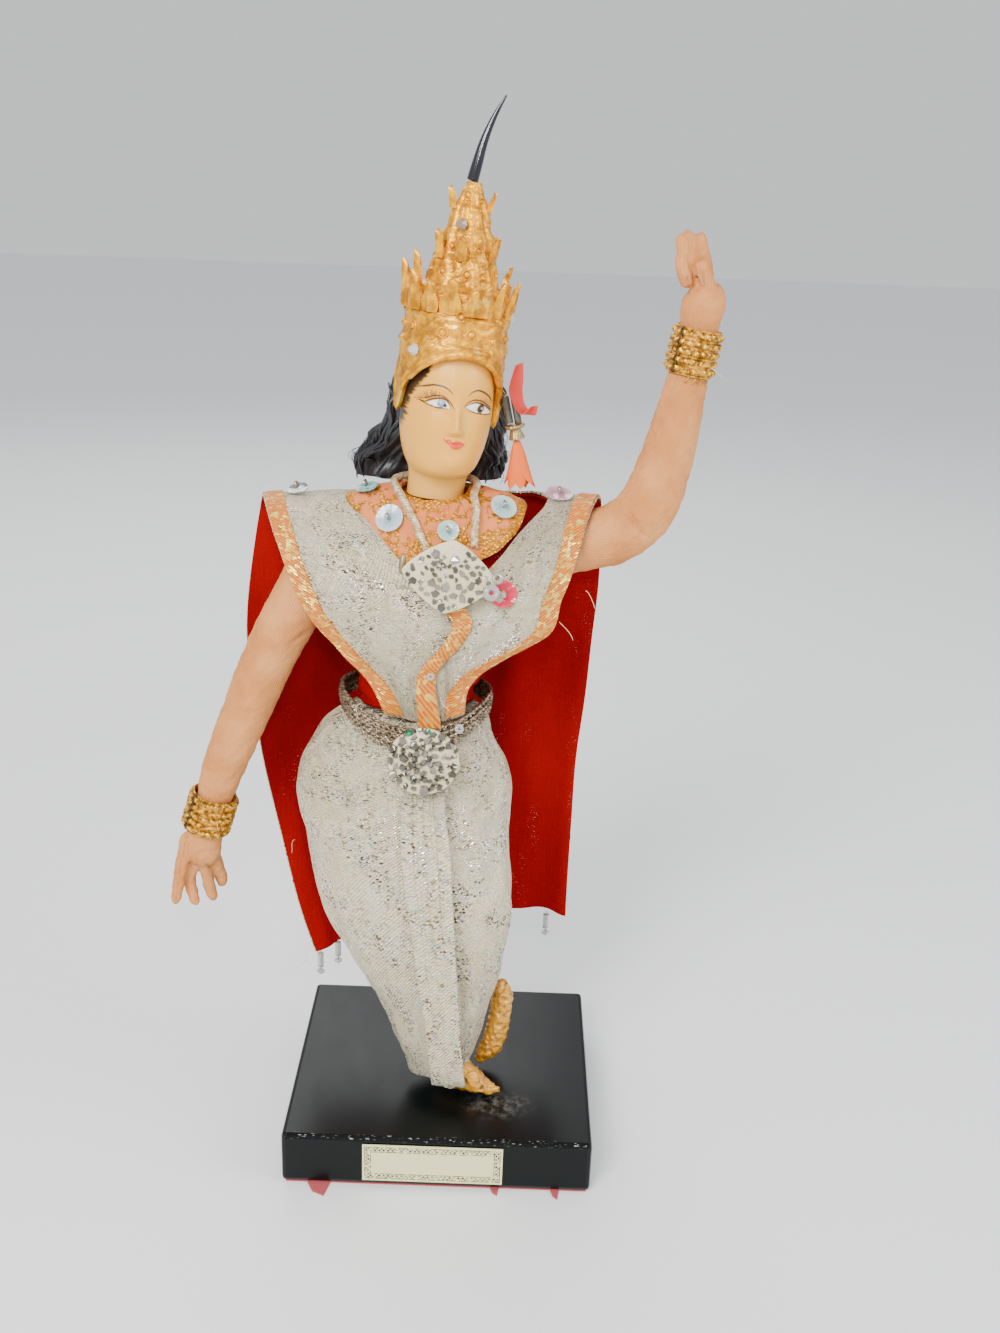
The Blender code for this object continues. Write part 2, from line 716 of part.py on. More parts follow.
def collar_body(name, grow=0.0):
    """The collar's felt ring, or a seat for it that is larger by a clearance."""
    rings = []
    sides = 24
    rim = grow / UNIT / 12
    shares = (-rim, 0.5, 1 + rim)
    for i in range(sides):
        turn = 2 * math.pi * i / sides
        under = [collar_point(turn, share, -grow) for share in shares]
        over = [collar_point(turn, share, COLLAR_THICKNESS + grow) for share in shares[::-1]]
        rings.append(under + over)
    return body_of_rings(name, rings, FELT, ring_closed=True)


def make_collar():
    made = collar_body("collar")
    cut_by_torso(made)
    neckline = [step for step in SHAWL_STEPS if step < JOINED_ROW]
    room = BROCADE_LIFT + BROCADE_THICKNESS + 2 * GAP
    seat = shawl_sheet("collar_shawl_seat", -GAP, room, BROCADE, neckline, 1.05)
    combine(made, seat, "DIFFERENCE")


# The sequins sewn to the collar: degrees round the neck, share of the way to its edge,
# direction that each faces and share of the full radius.
COLLAR_SEQUINS = [
    ("sequin_1", -129, 0.55, (-0.25, -0.80, 0.55), 1.0),
    ("sequin_2", -26, 0.65, (0.30, -0.60, 0.75), 0.95),
    ("sequin_3", -76, 0.50, (0.0, -0.85, 0.5), 0.75),
    ("sequin_4", -172, 0.60, (-0.3, -0.2, 1.0), 0.8),
]
# The sequins sewn to the shawl: middle, direction that each faces, share of the radius.
SHAWL_SEQUINS = [
    ("sequin_5", (-40.0, -3.0, 187.6), (-0.2, -0.3, 1.0), 0.75),
    ("sequin_6", (25.8, -6.0, 189.4), (0.1, -0.3, 1.0), 0.95),
    ("sequin_7", (12.7, -23.1, 168.1), (0.2, -0.95, 0.25), 0.95),
]


def make_sequins():
    places = []
    for name, turn, share, face, size in COLLAR_SEQUINS:
        lift = COLLAR_THICKNESS + 3 * GAP
        places.append((name, collar_point(math.radians(turn), share, lift), face, size))
    for name, place, face, size in SHAWL_SEQUINS:
        places.append((name, at(*place), face, size))
    for name, middle, face, share in places:
        disc(name, middle, face, SEQUIN_RADIUS * share, SEQUIN_THICKNESS, SEQUIN)
        out = Vector(face).normalized()
        lift = SEQUIN_THICKNESS + GAP + BEAD_RADIUS
        bead(name + "_bead", middle + out * lift, BEAD_RADIUS, GLASS)


def make_necklace():
    """A cord that lies on the collar: two strands in front, one loop behind the neck."""
    # rows: degrees round the neck, share of the way to the collar's edge
    rows = smooth_rows(
        [
            (-88, 0.86),
            (-98, 0.60),
            (-111, 0.34),
            (-138, 0.12),
            (-184, 0.08),
            (-228, 0.08),
            (-270, 0.08),
            (-312, 0.08),
            (-356, 0.08),
            (-392, 0.14),
            (-406, 0.36),
            (-417, 0.60),
            (-423, 0.84),
        ],
        21,
    )
    lift = COLLAR_THICKNESS + 2 * GAP + CORD_RADIUS
    points = [collar_point(math.radians(turn), share, lift) for turn, share in rows]
    tube("necklace_cord", points, [CORD_RADIUS] * len(points), BRAID, 1)


def make_pendant():
    """A lozenge plate that lies on the chest, with a cluster of beads at one end."""
    half_width = PENDANT_WIDTH / 2
    half_height = PENDANT_HEIGHT / 2
    rings = []
    for depth, share in ((0, 1.0), (0.7, 1.0), (1.0, 0.93)):
        ring = []
        for i in range(16):
            turn = 2 * math.pi * i / 16
            bulge = 1 / (abs(math.cos(turn)) ** 1.3 + abs(math.sin(turn)) ** 1.3) ** (1 / 1.3)
            x = half_width * share * bulge * math.cos(turn)
            y = half_height * share * bulge * math.sin(turn)
            ring.append(Vector((x, y, depth * PENDANT_THICKNESS)))
        rings.append(ring)
    made = body_of_rings("pendant", rings, PLATE)
    lean = Matrix.Rotation(math.radians(-7), 4, "Z")
    place = Matrix.Translation(at(-0.5, -24.2, 172.4)) @ upright((0.02, -0.97, 0.24)) @ lean
    made.matrix_world = place
    cluster = BEAD_RADIUS * 1.4
    end = Vector((half_width + GAP + cluster, 0.5 * cluster, 1.2 * cluster))
    bead("pendant_beads", (place @ end.to_4d()).xyz, cluster, GLASS, 0.8)


HEAD_PLACE = Vector((-3.2, -6.0, 207.0))
HEAD_TURN = math.radians(14)
HEAD_TILT = math.radians(6)
HEAD = Matrix.Rotation(HEAD_TILT, 3, "Y") @ Matrix.Rotation(HEAD_TURN, 3, "Z")


def on_head(x, y, z):
    """A place on the head, from the head's own axes: the face looks along -Y."""
    return at(*(HEAD_PLACE + HEAD @ Vector((x, y, z))))


def head_direction(x, y, z):
    return HEAD @ Vector((x, y, z))


def face_relief(x, z):
    """How far the features stand out of the face's plain curve, in units."""
    bridge = math.exp(-((x / 1.1) ** 2)) * math.exp(-(((z - 4.5) / 4.0) ** 2))
    tip = math.exp(-((x / 1.5) ** 2)) * math.exp(-(((z + 0.6) / 1.7) ** 2))
    lips = math.exp(-((x / 2.8) ** 2)) * math.exp(-(((z + 5.0) / 1.5) ** 2))
    chin = math.exp(-((x / 3.2) ** 2)) * math.exp(-(((z + 10.0) / 1.7) ** 2))
    sockets = sum(math.exp(-(((x - s) / 2.4) ** 2)) for s in (-4.6, 4.6))
    sockets *= math.exp(-(((z - 4.2) / 2.0) ** 2))
    return 0.7 * bridge + 1.9 * tip + 0.7 * lips + 0.5 * chin - 0.6 * sockets


def head_rings(grow=0.0, sides=20, levels=16):
    # rows: height, half width, front and back, from the neck to the top of the skull
    rows = smooth_rows(
        [
            (-19.4, 7.2, -5.0, 6.6),
            (-16.0, 7.2, -4.8, 6.6),
            (-13.2, 7.4, -6.4, 6.6),
            (-11.6, 7.9, -10.6, 7.2),
            (-9.6, 9.0, -12.4, 8.6),
            (-6.0, 10.2, -12.9, 10.6),
            (-2.0, 10.9, -13.0, 12.4),
            (2.0, 11.2, -12.9, 13.4),
            (6.0, 11.1, -12.7, 14.0),
            (12.0, 10.5, -12.2, 14.0),
            (18.0, 9.2, -10.2, 12.6),
            (22.5, 6.6, -7.0, 9.0),
            (25.0, 3.0, -3.0, 5.0),
        ],
        levels,
    )
    extra = grow / UNIT
    rings = []
    for z, half, front, back in rows:
        z *= 1 + extra / 18
        ring = []
        for i in range(sides):
            even = 2 * math.pi * i / sides
            turn = even + 0.42 * math.sin(even)
            x = (half + extra) * math.sin(turn)
            lean = math.cos(turn)
            y = (back + extra) * lean if lean > 0 else (extra - front) * lean
            if lean < 0:
                y -= face_relief(x, z)
            ring.append(on_head(x, y, z))
        rings.append(ring)
    return rings


def make_head():
    body_of_rings("head", head_rings(), SKIN)


def cut_by_head(target):
    name = target.name + "_head_seat"
    seat = body_of_rings(name, head_rings(GAP), SKIN)
    combine(target, seat, "DIFFERENCE")


def crown_edge(turn):
    """The crown's lower edge: an arch over the brow, a long flap before each ear."""
    aside = math.remainder(turn - math.pi, 2 * math.pi)
    arch = 16.9 - 6.6 * min(1.0, abs(aside)) ** 2
    longest = 9.4 if aside > 0 else 11.8
    return arch - longest * math.exp(-(((abs(aside) - 1.5) / 0.25) ** 2))


# The crown's tiers: height on the head, radius, and how square the step is.
CROWN_TIERS = [
    (17.4, 12.7),
    (18.6, 13.4),
    (19.8, 12.5),
    (24.2, 12.3),
    (25.4, 13.1),
    (26.6, 12.2),
    (31.6, 11.2),
    (32.2, 8.6),
    (38.6, 7.3),
    (39.4, 6.3),
    (43.8, 6.2),
    (45.0, 5.0),
    (49.8, 4.4),
    (50.6, 3.6),
    (54.8, 1.9),
]


def crown_ring(height, radius, sides, grow=0.0, edge=False):
    """One ring of the crown, deeper than it is wide where it fits the skull."""
    ring = []
    fit = max(0.0, min(1.0, (32 - height) / 8))
    for i in range(sides):
        turn = 2 * math.pi * i / sides
        z = crown_edge(turn) - grow / UNIT if edge else height
        low = max(0.0, (10 - z) / 12)
        x = (radius - 0.6 * low + grow / UNIT) * math.sin(turn)
        y = (radius + 1.4 * fit + grow / UNIT) * math.cos(turn) + 0.6 * fit
        ring.append(on_head(x, y, z))
    return ring


def crown_core(name, grow=0.0):
    sides = 20
    rings = [crown_ring(9.0 - grow / UNIT, 2.0, sides)]
    rings.append(crown_ring(16.0, 13.0, sides, grow, edge=True))
    rings += [crown_ring(z, radius, sides, grow) for z, radius in CROWN_TIERS]
    return body_of_rings(name, rings, GILT)


def crown_studs():
    """Bosses round each tier and the leaf points of the middle tier, as loose bodies."""
    studs = []
    belts = ((22.1, 12.4, 9, 1.1), (29.0, 11.7, 9, 0.9), (35.8, 7.9, 6, 0.95))
    belts += ((41.6, 6.3, 5, 0.9), (47.4, 4.7, 4, 0.8))
    for height, radius, count, share in belts:
        fit = max(0.0, min(1.0, (32 - height) / 8))
        for i in range(count):
            turn = 2 * math.pi * i / count + math.pi
            x = (radius - 0.5) * math.sin(turn)
            y = (radius + 1.4 * fit - 0.5) * math.cos(turn) + 0.6 * fit
            face = head_direction(math.sin(turn), math.cos(turn), 0.12)
            size = BOSS_RADIUS * share
            stud = disc(f"boss_{height}_{i}", on_head(x, y, height), face, size, size, GILT, 5, 0.4)
            studs.append(stud)
    leaves = 10
    for i in range(leaves):
        turn = 2 * math.pi * (i + 0.5) / leaves
        fit = 0.2
        x = 10.6 * math.sin(turn)
        y = (10.6 + 1.4 * fit) * math.cos(turn) + 0.6 * fit
        up = head_direction(0.12 * math.sin(turn), 0.12 * math.cos(turn), 1)
        form = bmesh.new()
        bmesh.ops.create_cone(
            form,
            cap_ends=True,
            segments=4,
            radius1=0.0021,
            radius2=0.0006,
            depth=0.0062 if i % 2 else 0.0048,
        )
        mesh = bpy.data.meshes.new(f"leaf_{i}")
        form.to_mesh(mesh)
        form.free()
        leaf = show(f"leaf_{i}", mesh, GILT)
        turned = upright(up, head_direction(math.sin(turn), math.cos(turn), 0))
        leaf.matrix_world = Matrix.Translation(on_head(x, y, 32.6)) @ turned
        studs.append(leaf)
    return studs


def make_crown():
    crown = crown_core("crown")
    studs = bpy.data.collections.new("crown_studs")
    cutters.children.link(studs)
    for stud in crown_studs():
        for home in list(stud.users_collection):
            home.objects.unlink(stud)
        studs.objects.link(stud)
        stud.hide_render = True
        stud.display_type = "WIRE"
    join = crown.modifiers.new("studs", "BOOLEAN")
    join.operation = "UNION"
    join.solver = "EXACT"
    join.operand_type = "COLLECTION"
    join.collection = studs
    cut_by_head(crown)
    stones = (("crown_stone_1", 52.2, 3.6, 0), ("crown_stone_2", 17.9, 13.7, 0.66))
    stones += (("crown_stone_3", 26.6, 13.1, -1.35),)
    for name, height, radius, side in stones:
        fit = max(0.0, min(1.0, (32 - height) / 8))
        turn = math.pi + side
        x = (radius + 0.7) * math.sin(turn)
        y = (radius + 1.4 * fit + 0.7) * math.cos(turn) + 0.6 * fit
        face = head_direction(math.sin(turn), math.cos(turn), 0.1)
        place = on_head(x, y, height) + face * GAP
        disc(name, place, face, STONE_RADIUS, STONE_RADIUS * 0.8, GLASS, 8, 0.5)


def make_horn():
    rows = smooth_rows(
        [
            (2.05, -5.0, 262.6, 1.0),
            (3.0, -4.9, 266.0, 0.92),
            (4.6, -4.6, 271.6, 0.70),
            (6.8, -4.2, 276.8, 0.45),
            (9.4, -3.8, 281.4, 0.16),
        ],
        8,
    )
    points = [at(x, y, z) for x, y, z, share in rows]
    tube("crown_horn", points, [HORN_RADIUS * row[3] for row in rows], LACQUER, 2)


def hair_locks(turn, z):
    """Waves that run down the hair in thick locks."""
    return 0.9 * math.cos(9 * turn + 0.45 * z) + 0.4 * math.cos(0.9 * z + 3 * turn)


def make_hair():
    # rows: height, middle across and back, half width, half depth
    rows = smooth_rows(
        [
            (188.5, -8.2, 9.8, 18.2, 4.4),
            (191.6, -8.0, 9.8, 18.9, 5.0),
            (194.8, -7.2, 9.6, 18.4, 5.6),
            (198.6, -6.0, 7.2, 16.6, 7.8),
            (204.0, -4.2, 5.2, 14.4, 9.8),
            (210.0, -3.2, 5.4, 13.8, 9.4),
            (216.0, -2.8, 5.4, 13.0, 9.4),
            (221.0, -2.4, 4.8, 11.6, 9.2),
        ],
        10,
    )
    rings = [oval(x, y, z, a, b, 20, hair_locks) for z, x, y, a, b in rows]
    made = body_of_rings("hair", rings, HAIR)
    cut_by_head(made)
    combine(made, collar_body("hair_collar_seat", GAP), "DIFFERENCE")
    combine(made, crown_core("hair_crown_seat", 2 * GAP), "DIFFERENCE")


def make_ear_ornament():
    """The tassel at the ear: bugle beads, a brass cap, paper petals and a ribbon."""
    flap = on_head(12.4, -3.2, 7.9)
    top = flap + Vector((GAP + 2 * BUGLE_RADIUS, 0, 0))
    end = top + Vector((1.5, 0, -6.8)) * UNIT
    for k, shift in enumerate((-1, 1)):
        aside = Vector((shift * (BUGLE_RADIUS + GAP / 2), 0, 0))
        points = [top + aside, end + aside]
        tube(f"ear_bugle_{k + 1}", points, [BUGLE_RADIUS] * 2, GLASS, 1)
    down = (end - top).normalized()
    cap_top = end + down * GAP
    profile = ((0.0, 0.0024), (0.0009, 0.0021), (0.0012, 0.0013), (0.0034, 0.0019), (0.0036, 0.0014))
    rings = []
    for depth, radius in profile:
        turned = upright(down)
        ring = []
        for i in range(12):
            turn = 2 * math.pi * i / 12
            spoke = Vector((radius * math.cos(turn), radius * math.sin(turn), depth))
            ring.append(cap_top + (turned @ spoke.to_4d()).xyz)
        rings.append(ring)
    body_of_rings("tassel_cap", rings, BRASS)
    petals_top = cap_top + down * 0.0036 - Vector((0, 0, 2 * GAP))
    rings = []
    for depth, wide in ((0.0, 1.4), (3.2, 2.8), (8.0, 3.9), (11.6, 3.0)):
        ring = []
        for i in range(20):
            turn = 2 * math.pi * i / 20
            petal = 1 + 0.16 * (depth / 11.6) * math.cos(5 * turn)
            ragged = 1.6 * (depth / 11.6) ** 2 * math.cos(5 * turn)
            shift = 0.10 * depth
            x = wide * petal * math.cos(turn) + shift
            y = 0.7 * wide * petal * math.sin(turn)
            ring.append(petals_top + Vector((x, y, -depth + ragged)) * UNIT)
        rings.append(ring)
    body_of_rings("tassel_petals", rings, PETAL)
    rows = smooth_rows(
        [
            (14.6, 221.4, 0.9),
            (14.2, 217.6, 1.5),
            (14.0, 214.8, 1.6),
            (14.9, 211.8, 1.5),
            (17.2, 209.4, 1.7),
            (18.6, 211.4, 0.9),
        ],
        11,
    )
    form = bmesh.new()
    pairs = []
    for x, z, half in rows:
        pairs.append([form.verts.new(at(x + s * half, -7.9 + 0.8 * s, z)) for s in (-1, 1)])
    for (a, b), (c, d) in zip(pairs, pairs[1:]):
        form.faces.new((a, b, d, c))
    bmesh.ops.recalc_face_normals(form, faces=form.faces)
    mesh = bpy.data.meshes.new("ear_ribbon")
    form.to_mesh(mesh)
    form.free()
    made = show("ear_ribbon", mesh, RED_CLOTH)
    wall = made.modifiers.new("thickness", "SOLIDIFY")
    wall.thickness = LINING_THICKNESS


def arm(name, path, fingers):
    """A stuffed arm with a mitten palm and sewn fingers joined on."""
    rows = smooth_rows(path, len(path) + 3)
    points = [at(x, y, z) for x, y, z, radius in rows]
    made = tube(name, points, [row[3] * UNIT for row in rows], KNIT, 2)
    for k, finger in enumerate(fingers):
        rows = smooth_rows(finger, 4)
        points = [at(x, y, z) for x, y, z in rows]
        radii = [FINGER_RADIUS * share for share in (1.05, 1.0, 0.95, 0.6)]
        combine(made, tube(f"{name}_finger_{k}", points, radii, KNIT, 1), "UNION")
    cut_by_torso(made)
    return made


def make_arms():
    arm(
        "left_arm",
        [
            (-26.5, -5.4, 177.0, 5.2),
            (-30.0, -6.0, 174.0, 6.8),
            (-35.0, -6.8, 167.5, 7.3),
            (-39.4, -7.4, 159.8, 7.2),
            (-47.2, -7.8, 144.5, 6.8),
            (-55.1, -8.0, 125.4, 6.2),
            (-60.4, -8.0, 112.0, 5.6),
            (-63.0, -8.0, 103.6, 4.8),
            (-65.7, -8.0, 95.0, 4.6),
            (-66.5, -8.0, 89.6, 4.8),
            (-66.4, -8.0, 85.4, 4.4),
            (-66.2, -8.0, 82.8, 2.8),
        ],
        [
            [(-70.2, -10.6, 94.0), (-72.2, -11.6, 84.0), (-74.3, -12.0, 71.6)],
            [(-69.4, -8.0, 84.6), (-70.9, -8.4, 77.5), (-69.0, -8.6, 69.8)],
            [(-66.8, -8.4, 84.0), (-65.6, -8.6, 77.2), (-64.2, -8.6, 71.6)],
            [(-64.4, -6.6, 85.4), (-63.0, -5.2, 78.4), (-62.5, -5.0, 74.2)],
        ],
    )
    arm(
        "right_arm",
        [
            (17.0, -5.0, 173.4, 5.4),
            (22.0, -5.4, 174.6, 7.0),
            (33.9, -6.0, 177.9, 7.5),
            (41.3, -6.2, 180.4, 7.6),
            (47.9, -6.4, 187.0, 7.4),
            (51.7, -6.4, 199.0, 6.6),
            (54.0, -6.2, 210.6, 5.7),
            (55.0, -6.1, 216.8, 5.2),
            (55.8, -6.0, 221.6, 4.5),
            (57.0, -6.0, 229.4, 4.4),
            (57.7, -6.0, 235.0, 5.2),
            (57.9, -6.0, 238.6, 4.9),
            (57.3, -6.0, 241.6, 3.4),
        ],
        [
            [(59.2, -8.6, 239.0), (57.0, -10.6, 244.0), (55.3, -11.0, 247.2)],
            [(58.6, -6.6, 240.4), (56.9, -6.6, 247.4), (55.3, -6.6, 253.2)],
            [(55.8, -6.4, 240.8), (53.9, -6.4, 247.4), (52.4, -6.6, 253.8)],
            [(54.6, -7.4, 240.6), (52.4, -8.0, 247.2), (50.7, -8.2, 252.6)],
            [(53.8, -8.0, 240.4), (51.8, -9.6, 245.2), (51.0, -9.8, 248.2)],
        ],
    )


def make_cuffs():
    """Braid cuffs: turned bands with ribbed rows, a clearance larger than the wrist."""
    cuffs = (
        ("left_cuff", (-62.9, -8.0, 104.2), (-66.0, -8.0, 94.0), 5.2),
        ("right_cuff", (55.5, -6.0, 220.6), (57.3, -6.0, 230.8), 4.8),
    )
    for name, start, end, wrist in cuffs:
        inner = wrist * UNIT + GAP
        outer = inner + CUFF_THICKNESS
        low = -CUFF_HEIGHT / 2
        steps = 2 * CUFF_ROWS
        profile = [(inner, -low), (outer, -low)]
        for i in range(1, steps):
            rib = CUFF_THICKNESS * (0.4 if i % 2 else 0)
            profile.append((outer + rib, -low - CUFF_HEIGHT * i / steps))
        profile += [(outer, low), (inner, low)]
        form = bmesh.new()
        rim = [form.verts.new((x, 0, z)) for x, z in profile]
        for i in range(len(rim)):
            form.edges.new((rim[i], rim[(i + 1) % len(rim)]))
        mesh = bpy.data.meshes.new(name)
        form.to_mesh(mesh)
        form.free()
        made = show(name, mesh, BRAID)
        turned = made.modifiers.new("turned", "SCREW")
        turned.steps = 12
        turned.render_steps = 12
        turned.use_merge_vertices = True
        turned.merge_threshold = 0.00001
        first = at(*start)
        last = at(*end)
        made.matrix_world = Matrix.Translation((first + last) / 2) @ upright(last - first)


def make_cape_drops():
    """Bugle and bead drops that hang from the hem on a stitch."""
    drops = (
        ("cape_drop_1", (-37.4, 9.2, 45.4)),
        ("cape_drop_2", (-32.6, 12.4, 47.4)),
        ("cape_drop_3", (29.2, 21.6, 54.0)),
    )
    for name, (x, y, z) in drops:
        hang = at(x, y, z - 0.6)
        rings = []
        for depth, radius in ((0, 0.9), (4.4, 0.9), (4.8, 0.5), (5.4, 1.1), (6.4, 1.2), (7.3, 0.6)):
            ring = []
            for i in range(6):
                turn = 2 * math.pi * i / 6
                spoke = Vector((math.cos(turn), math.sin(turn), 0)) * radius * UNIT
                ring.append(hang + spoke - Vector((0, 0, depth * UNIT)))
            rings.append(ring)
        body_of_rings(name, rings, GLASS)


make_base()
make_felt()
make_shoes()
make_trousers()
make_pleat_panel()
make_torso()
make_shawl()
make_front_strip()
make_belt()
make_buckle()
make_collar()
make_sequins()
make_necklace()
make_pendant()
make_head()
make_crown()
make_horn()
make_hair()
make_ear_ornament()
make_arms()
make_cuffs()
make_cape_drops()
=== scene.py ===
import math

import bpy
import numpy as np
from mathutils import Matrix, Quaternion, Vector


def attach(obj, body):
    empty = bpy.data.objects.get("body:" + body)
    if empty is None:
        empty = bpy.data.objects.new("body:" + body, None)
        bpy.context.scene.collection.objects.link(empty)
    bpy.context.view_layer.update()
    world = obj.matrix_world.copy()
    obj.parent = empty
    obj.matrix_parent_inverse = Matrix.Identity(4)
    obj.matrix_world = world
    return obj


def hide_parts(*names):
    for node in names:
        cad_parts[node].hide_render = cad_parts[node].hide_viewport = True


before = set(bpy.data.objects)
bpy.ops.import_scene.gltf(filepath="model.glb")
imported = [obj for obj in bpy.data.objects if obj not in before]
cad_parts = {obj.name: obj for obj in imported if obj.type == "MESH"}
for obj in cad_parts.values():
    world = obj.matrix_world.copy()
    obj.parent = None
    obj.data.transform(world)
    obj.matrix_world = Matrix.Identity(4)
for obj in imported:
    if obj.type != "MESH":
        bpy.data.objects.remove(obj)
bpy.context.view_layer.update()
FULL_TURN = 2 * math.pi

# Camera, light and floor
# The doll is seen from a little above and a hand's width to its left, as it was taken,
# on a plain pale table in soft daylight.
LIFT = math.radians(20.3987)
ROLL = math.radians(2.0816)
lens = bpy.data.cameras.new("photo_camera")
lens.lens = 36 * 1400 / 1333
lens.sensor_width = 36
lens.sensor_fit = "AUTO"
camera = bpy.data.objects.new("photo_camera", lens)
bpy.context.scene.collection.objects.link(camera)
camera.location = (0.0125679, -0.3488732, 0.2704151)
away = Vector((0, -math.cos(LIFT), math.sin(LIFT)))
camera.rotation_mode = "QUATERNION"
camera.rotation_quaternion = away.to_track_quat("Z", "Y") @ Quaternion((0, 0, 1), ROLL)
bpy.context.scene.camera = camera


def lamp(name, place, size, power, colour=(1, 1, 1)):
    """A soft square light that points at the middle of the doll."""
    light = bpy.data.lights.new(name, "AREA")
    light.shape = "SQUARE"
    light.size = size
    light.energy = power
    light.color = colour
    made = bpy.data.objects.new(name, light)
    bpy.context.scene.collection.objects.link(made)
    made.location = place
    made.rotation_mode = "QUATERNION"
    aim = Vector(place) - Vector((0, 0, 0.13))
    made.rotation_quaternion = aim.to_track_quat("Z", "Y")


lamp("front_window", (-0.35, -0.75, 0.75), 0.40, 12.5, (1, 0.985, 0.96))
lamp("side_window", (0.75, -0.25, 0.5), 0.5, 4.2, (0.96, 0.98, 1))
lamp("back_window", (-0.2, 0.7, 0.7), 0.6, 3.6)
lamp("flash", (0.02, -0.40, 0.36), 0.05, 0.55)
sky = bpy.data.worlds.new("pale_room")
bpy.context.scene.world = sky
sky.use_nodes = True
sky.node_tree.nodes["Background"].inputs["Color"].default_value = (0.93, 0.94, 0.96, 1)
sky.node_tree.nodes["Background"].inputs["Strength"].default_value = 0.85


class Signal:
    """One output of a material's nodes; arithmetic on it adds Math nodes."""

    def __init__(self, coat, socket):
        self.coat = coat
        self.socket = socket

    def math(self, operation, *others):
        return self.coat.node("ShaderNodeMath", {"operation": operation}, (self, *others))

    def __add__(self, other):
        return self.math("ADD", other)

    def __sub__(self, other):
        return self.math("SUBTRACT", other)

    def __mul__(self, other):
        return self.math("MULTIPLY", other)

    def __rsub__(self, other):
        return self.coat.node("ShaderNodeMath", {"operation": "SUBTRACT"}, (other, self))

    __radd__ = __add__
    __rmul__ = __mul__


class Coat:
    """One finish of the doll: what is even is set on the shader, what varies comes from nodes."""

    def __init__(self, name, **evens):
        self.material = bpy.data.materials.new(name)
        self.material.use_nodes = True
        self.nodes = self.material.node_tree.nodes
        self.shader = self.nodes["Principled BSDF"]
        self.vary(**evens)

    def join(self, socket, value):
        if isinstance(value, Signal):
            self.material.node_tree.links.new(value.socket, socket)
        elif socket.type == "RGBA" and len(value) == 3:
            socket.default_value = (*value, 1)
        else:
            socket.default_value = value

    def vary(self, **values):
        """Sets or links the shader's own sockets: base_color is its Base Color."""
        for key, value in values.items():
            words = [w.upper() if w == "ior" else w.capitalize() for w in key.split("_")]
            self.join(self.shader.inputs[" ".join(words)], value)
        return self

    def node(self, kind, settings=None, inputs=(), output=0):
        made = self.nodes.new(kind)
        for key, value in (settings or {}).items():
            setattr(made, key, value)
        pairs = inputs.items() if isinstance(inputs, dict) else enumerate(inputs)
        for key, value in pairs:
            self.join(made.inputs[key], value)
        return Signal(self, made.outputs[output])

    def place(self):
        """Where a point is on the doll, in metres."""
        return self.node("ShaderNodeTexCoord", output=3)

    def cloth(self):
        """Where a point is on the flat cloth, from the piece's own UV map, in decimetres."""
        return self.node("ShaderNodeTexCoord", output=2)

    def painted(self, name):
        """A value that was painted on the piece's own points."""
        return self.node("ShaderNodeAttribute", {"attribute_name": name}, output=2)

    def noise(self, place, scale, detail=3.0, roughness=0.5):
        inputs = {"Vector": place, "Scale": scale, "Detail": detail, "Roughness": roughness}
        return self.node("ShaderNodeTexNoise", None, inputs)

    def stretch(self, place, x, y, z=1.0):
        return self.node("ShaderNodeMapping", None, {"Vector": place, "Scale": (x, y, z)})

    def step(self, value, low, high):
        """0 below low, 1 above high, and smooth between."""
        inputs = {"Value": value, "From Min": low, "From Max": high}
        return self.node("ShaderNodeMapRange", {"interpolation_type": "SMOOTHSTEP"}, inputs)

    def mix(self, share, first, second):
        inputs = {0: share, 6: first, 7: second}
        return self.node("ShaderNodeMix", {"data_type": "RGBA"}, inputs, 2)

    def cells(self, place, scale, output=0, feature="F1"):
        """Irregular cells: output 0 is the distance in them, 1 each cell's own colour."""
        inputs = {"Vector": place, "Scale": scale}
        return self.node("ShaderNodeTexVoronoi", {"feature": feature}, inputs, output)

    def split(self, value, kind="XYZ"):
        """The three parts of a place or of a colour."""
        return (self.node("ShaderNodeSeparate" + kind, None, (value,), k) for k in range(3))

    def grain(self, scale, dark, light):
        """Colours the piece between two tones with fine noise."""
        self.vary(base_color=self.mix(self.noise(self.place(), scale), dark, light))

    def relief(self, height, distance, strength):
        """Fine relief that only the light shows, its depth in metres."""
        inputs = {"Height": height, "Distance": distance, "Strength": strength}
        self.vary(normal=self.node("ShaderNodeBump", None, inputs))


def clear():
    """Leaves nothing selected and no mode but object mode."""
    if bpy.context.object and bpy.context.object.mode != "OBJECT":
        bpy.ops.object.mode_set(mode="OBJECT")
    bpy.ops.object.select_all(action="DESELECT")


clear()
bpy.ops.mesh.primitive_plane_add(size=6, location=(0, 0, 0))
table = bpy.context.object
table.name = "table_top"
paper = Coat("white_table", roughness=0.6)
paper.vary(base_color=(0.86, 0.87, 0.88))
table.data.materials.append(paper.material)


# Base
# A block of wood, sprayed black and rubbed through at the front edge, on a thin red felt
# pad whose torn edge sticks out in front. A printed foil plate is glued to the front.
def dress(piece, coat, slot, *solids):
    """Gives a piece its finish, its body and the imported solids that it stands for."""
    piece.data.materials.clear()
    piece.data.materials.append(coat.material)
    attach(piece, "root")
    if solids:
        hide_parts(*solids)


def recoat(coat, *names):
    """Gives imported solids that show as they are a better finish."""
    for name in names:
        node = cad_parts[name]
        node.data.materials.clear()
        node.data.materials.append(coat.material)


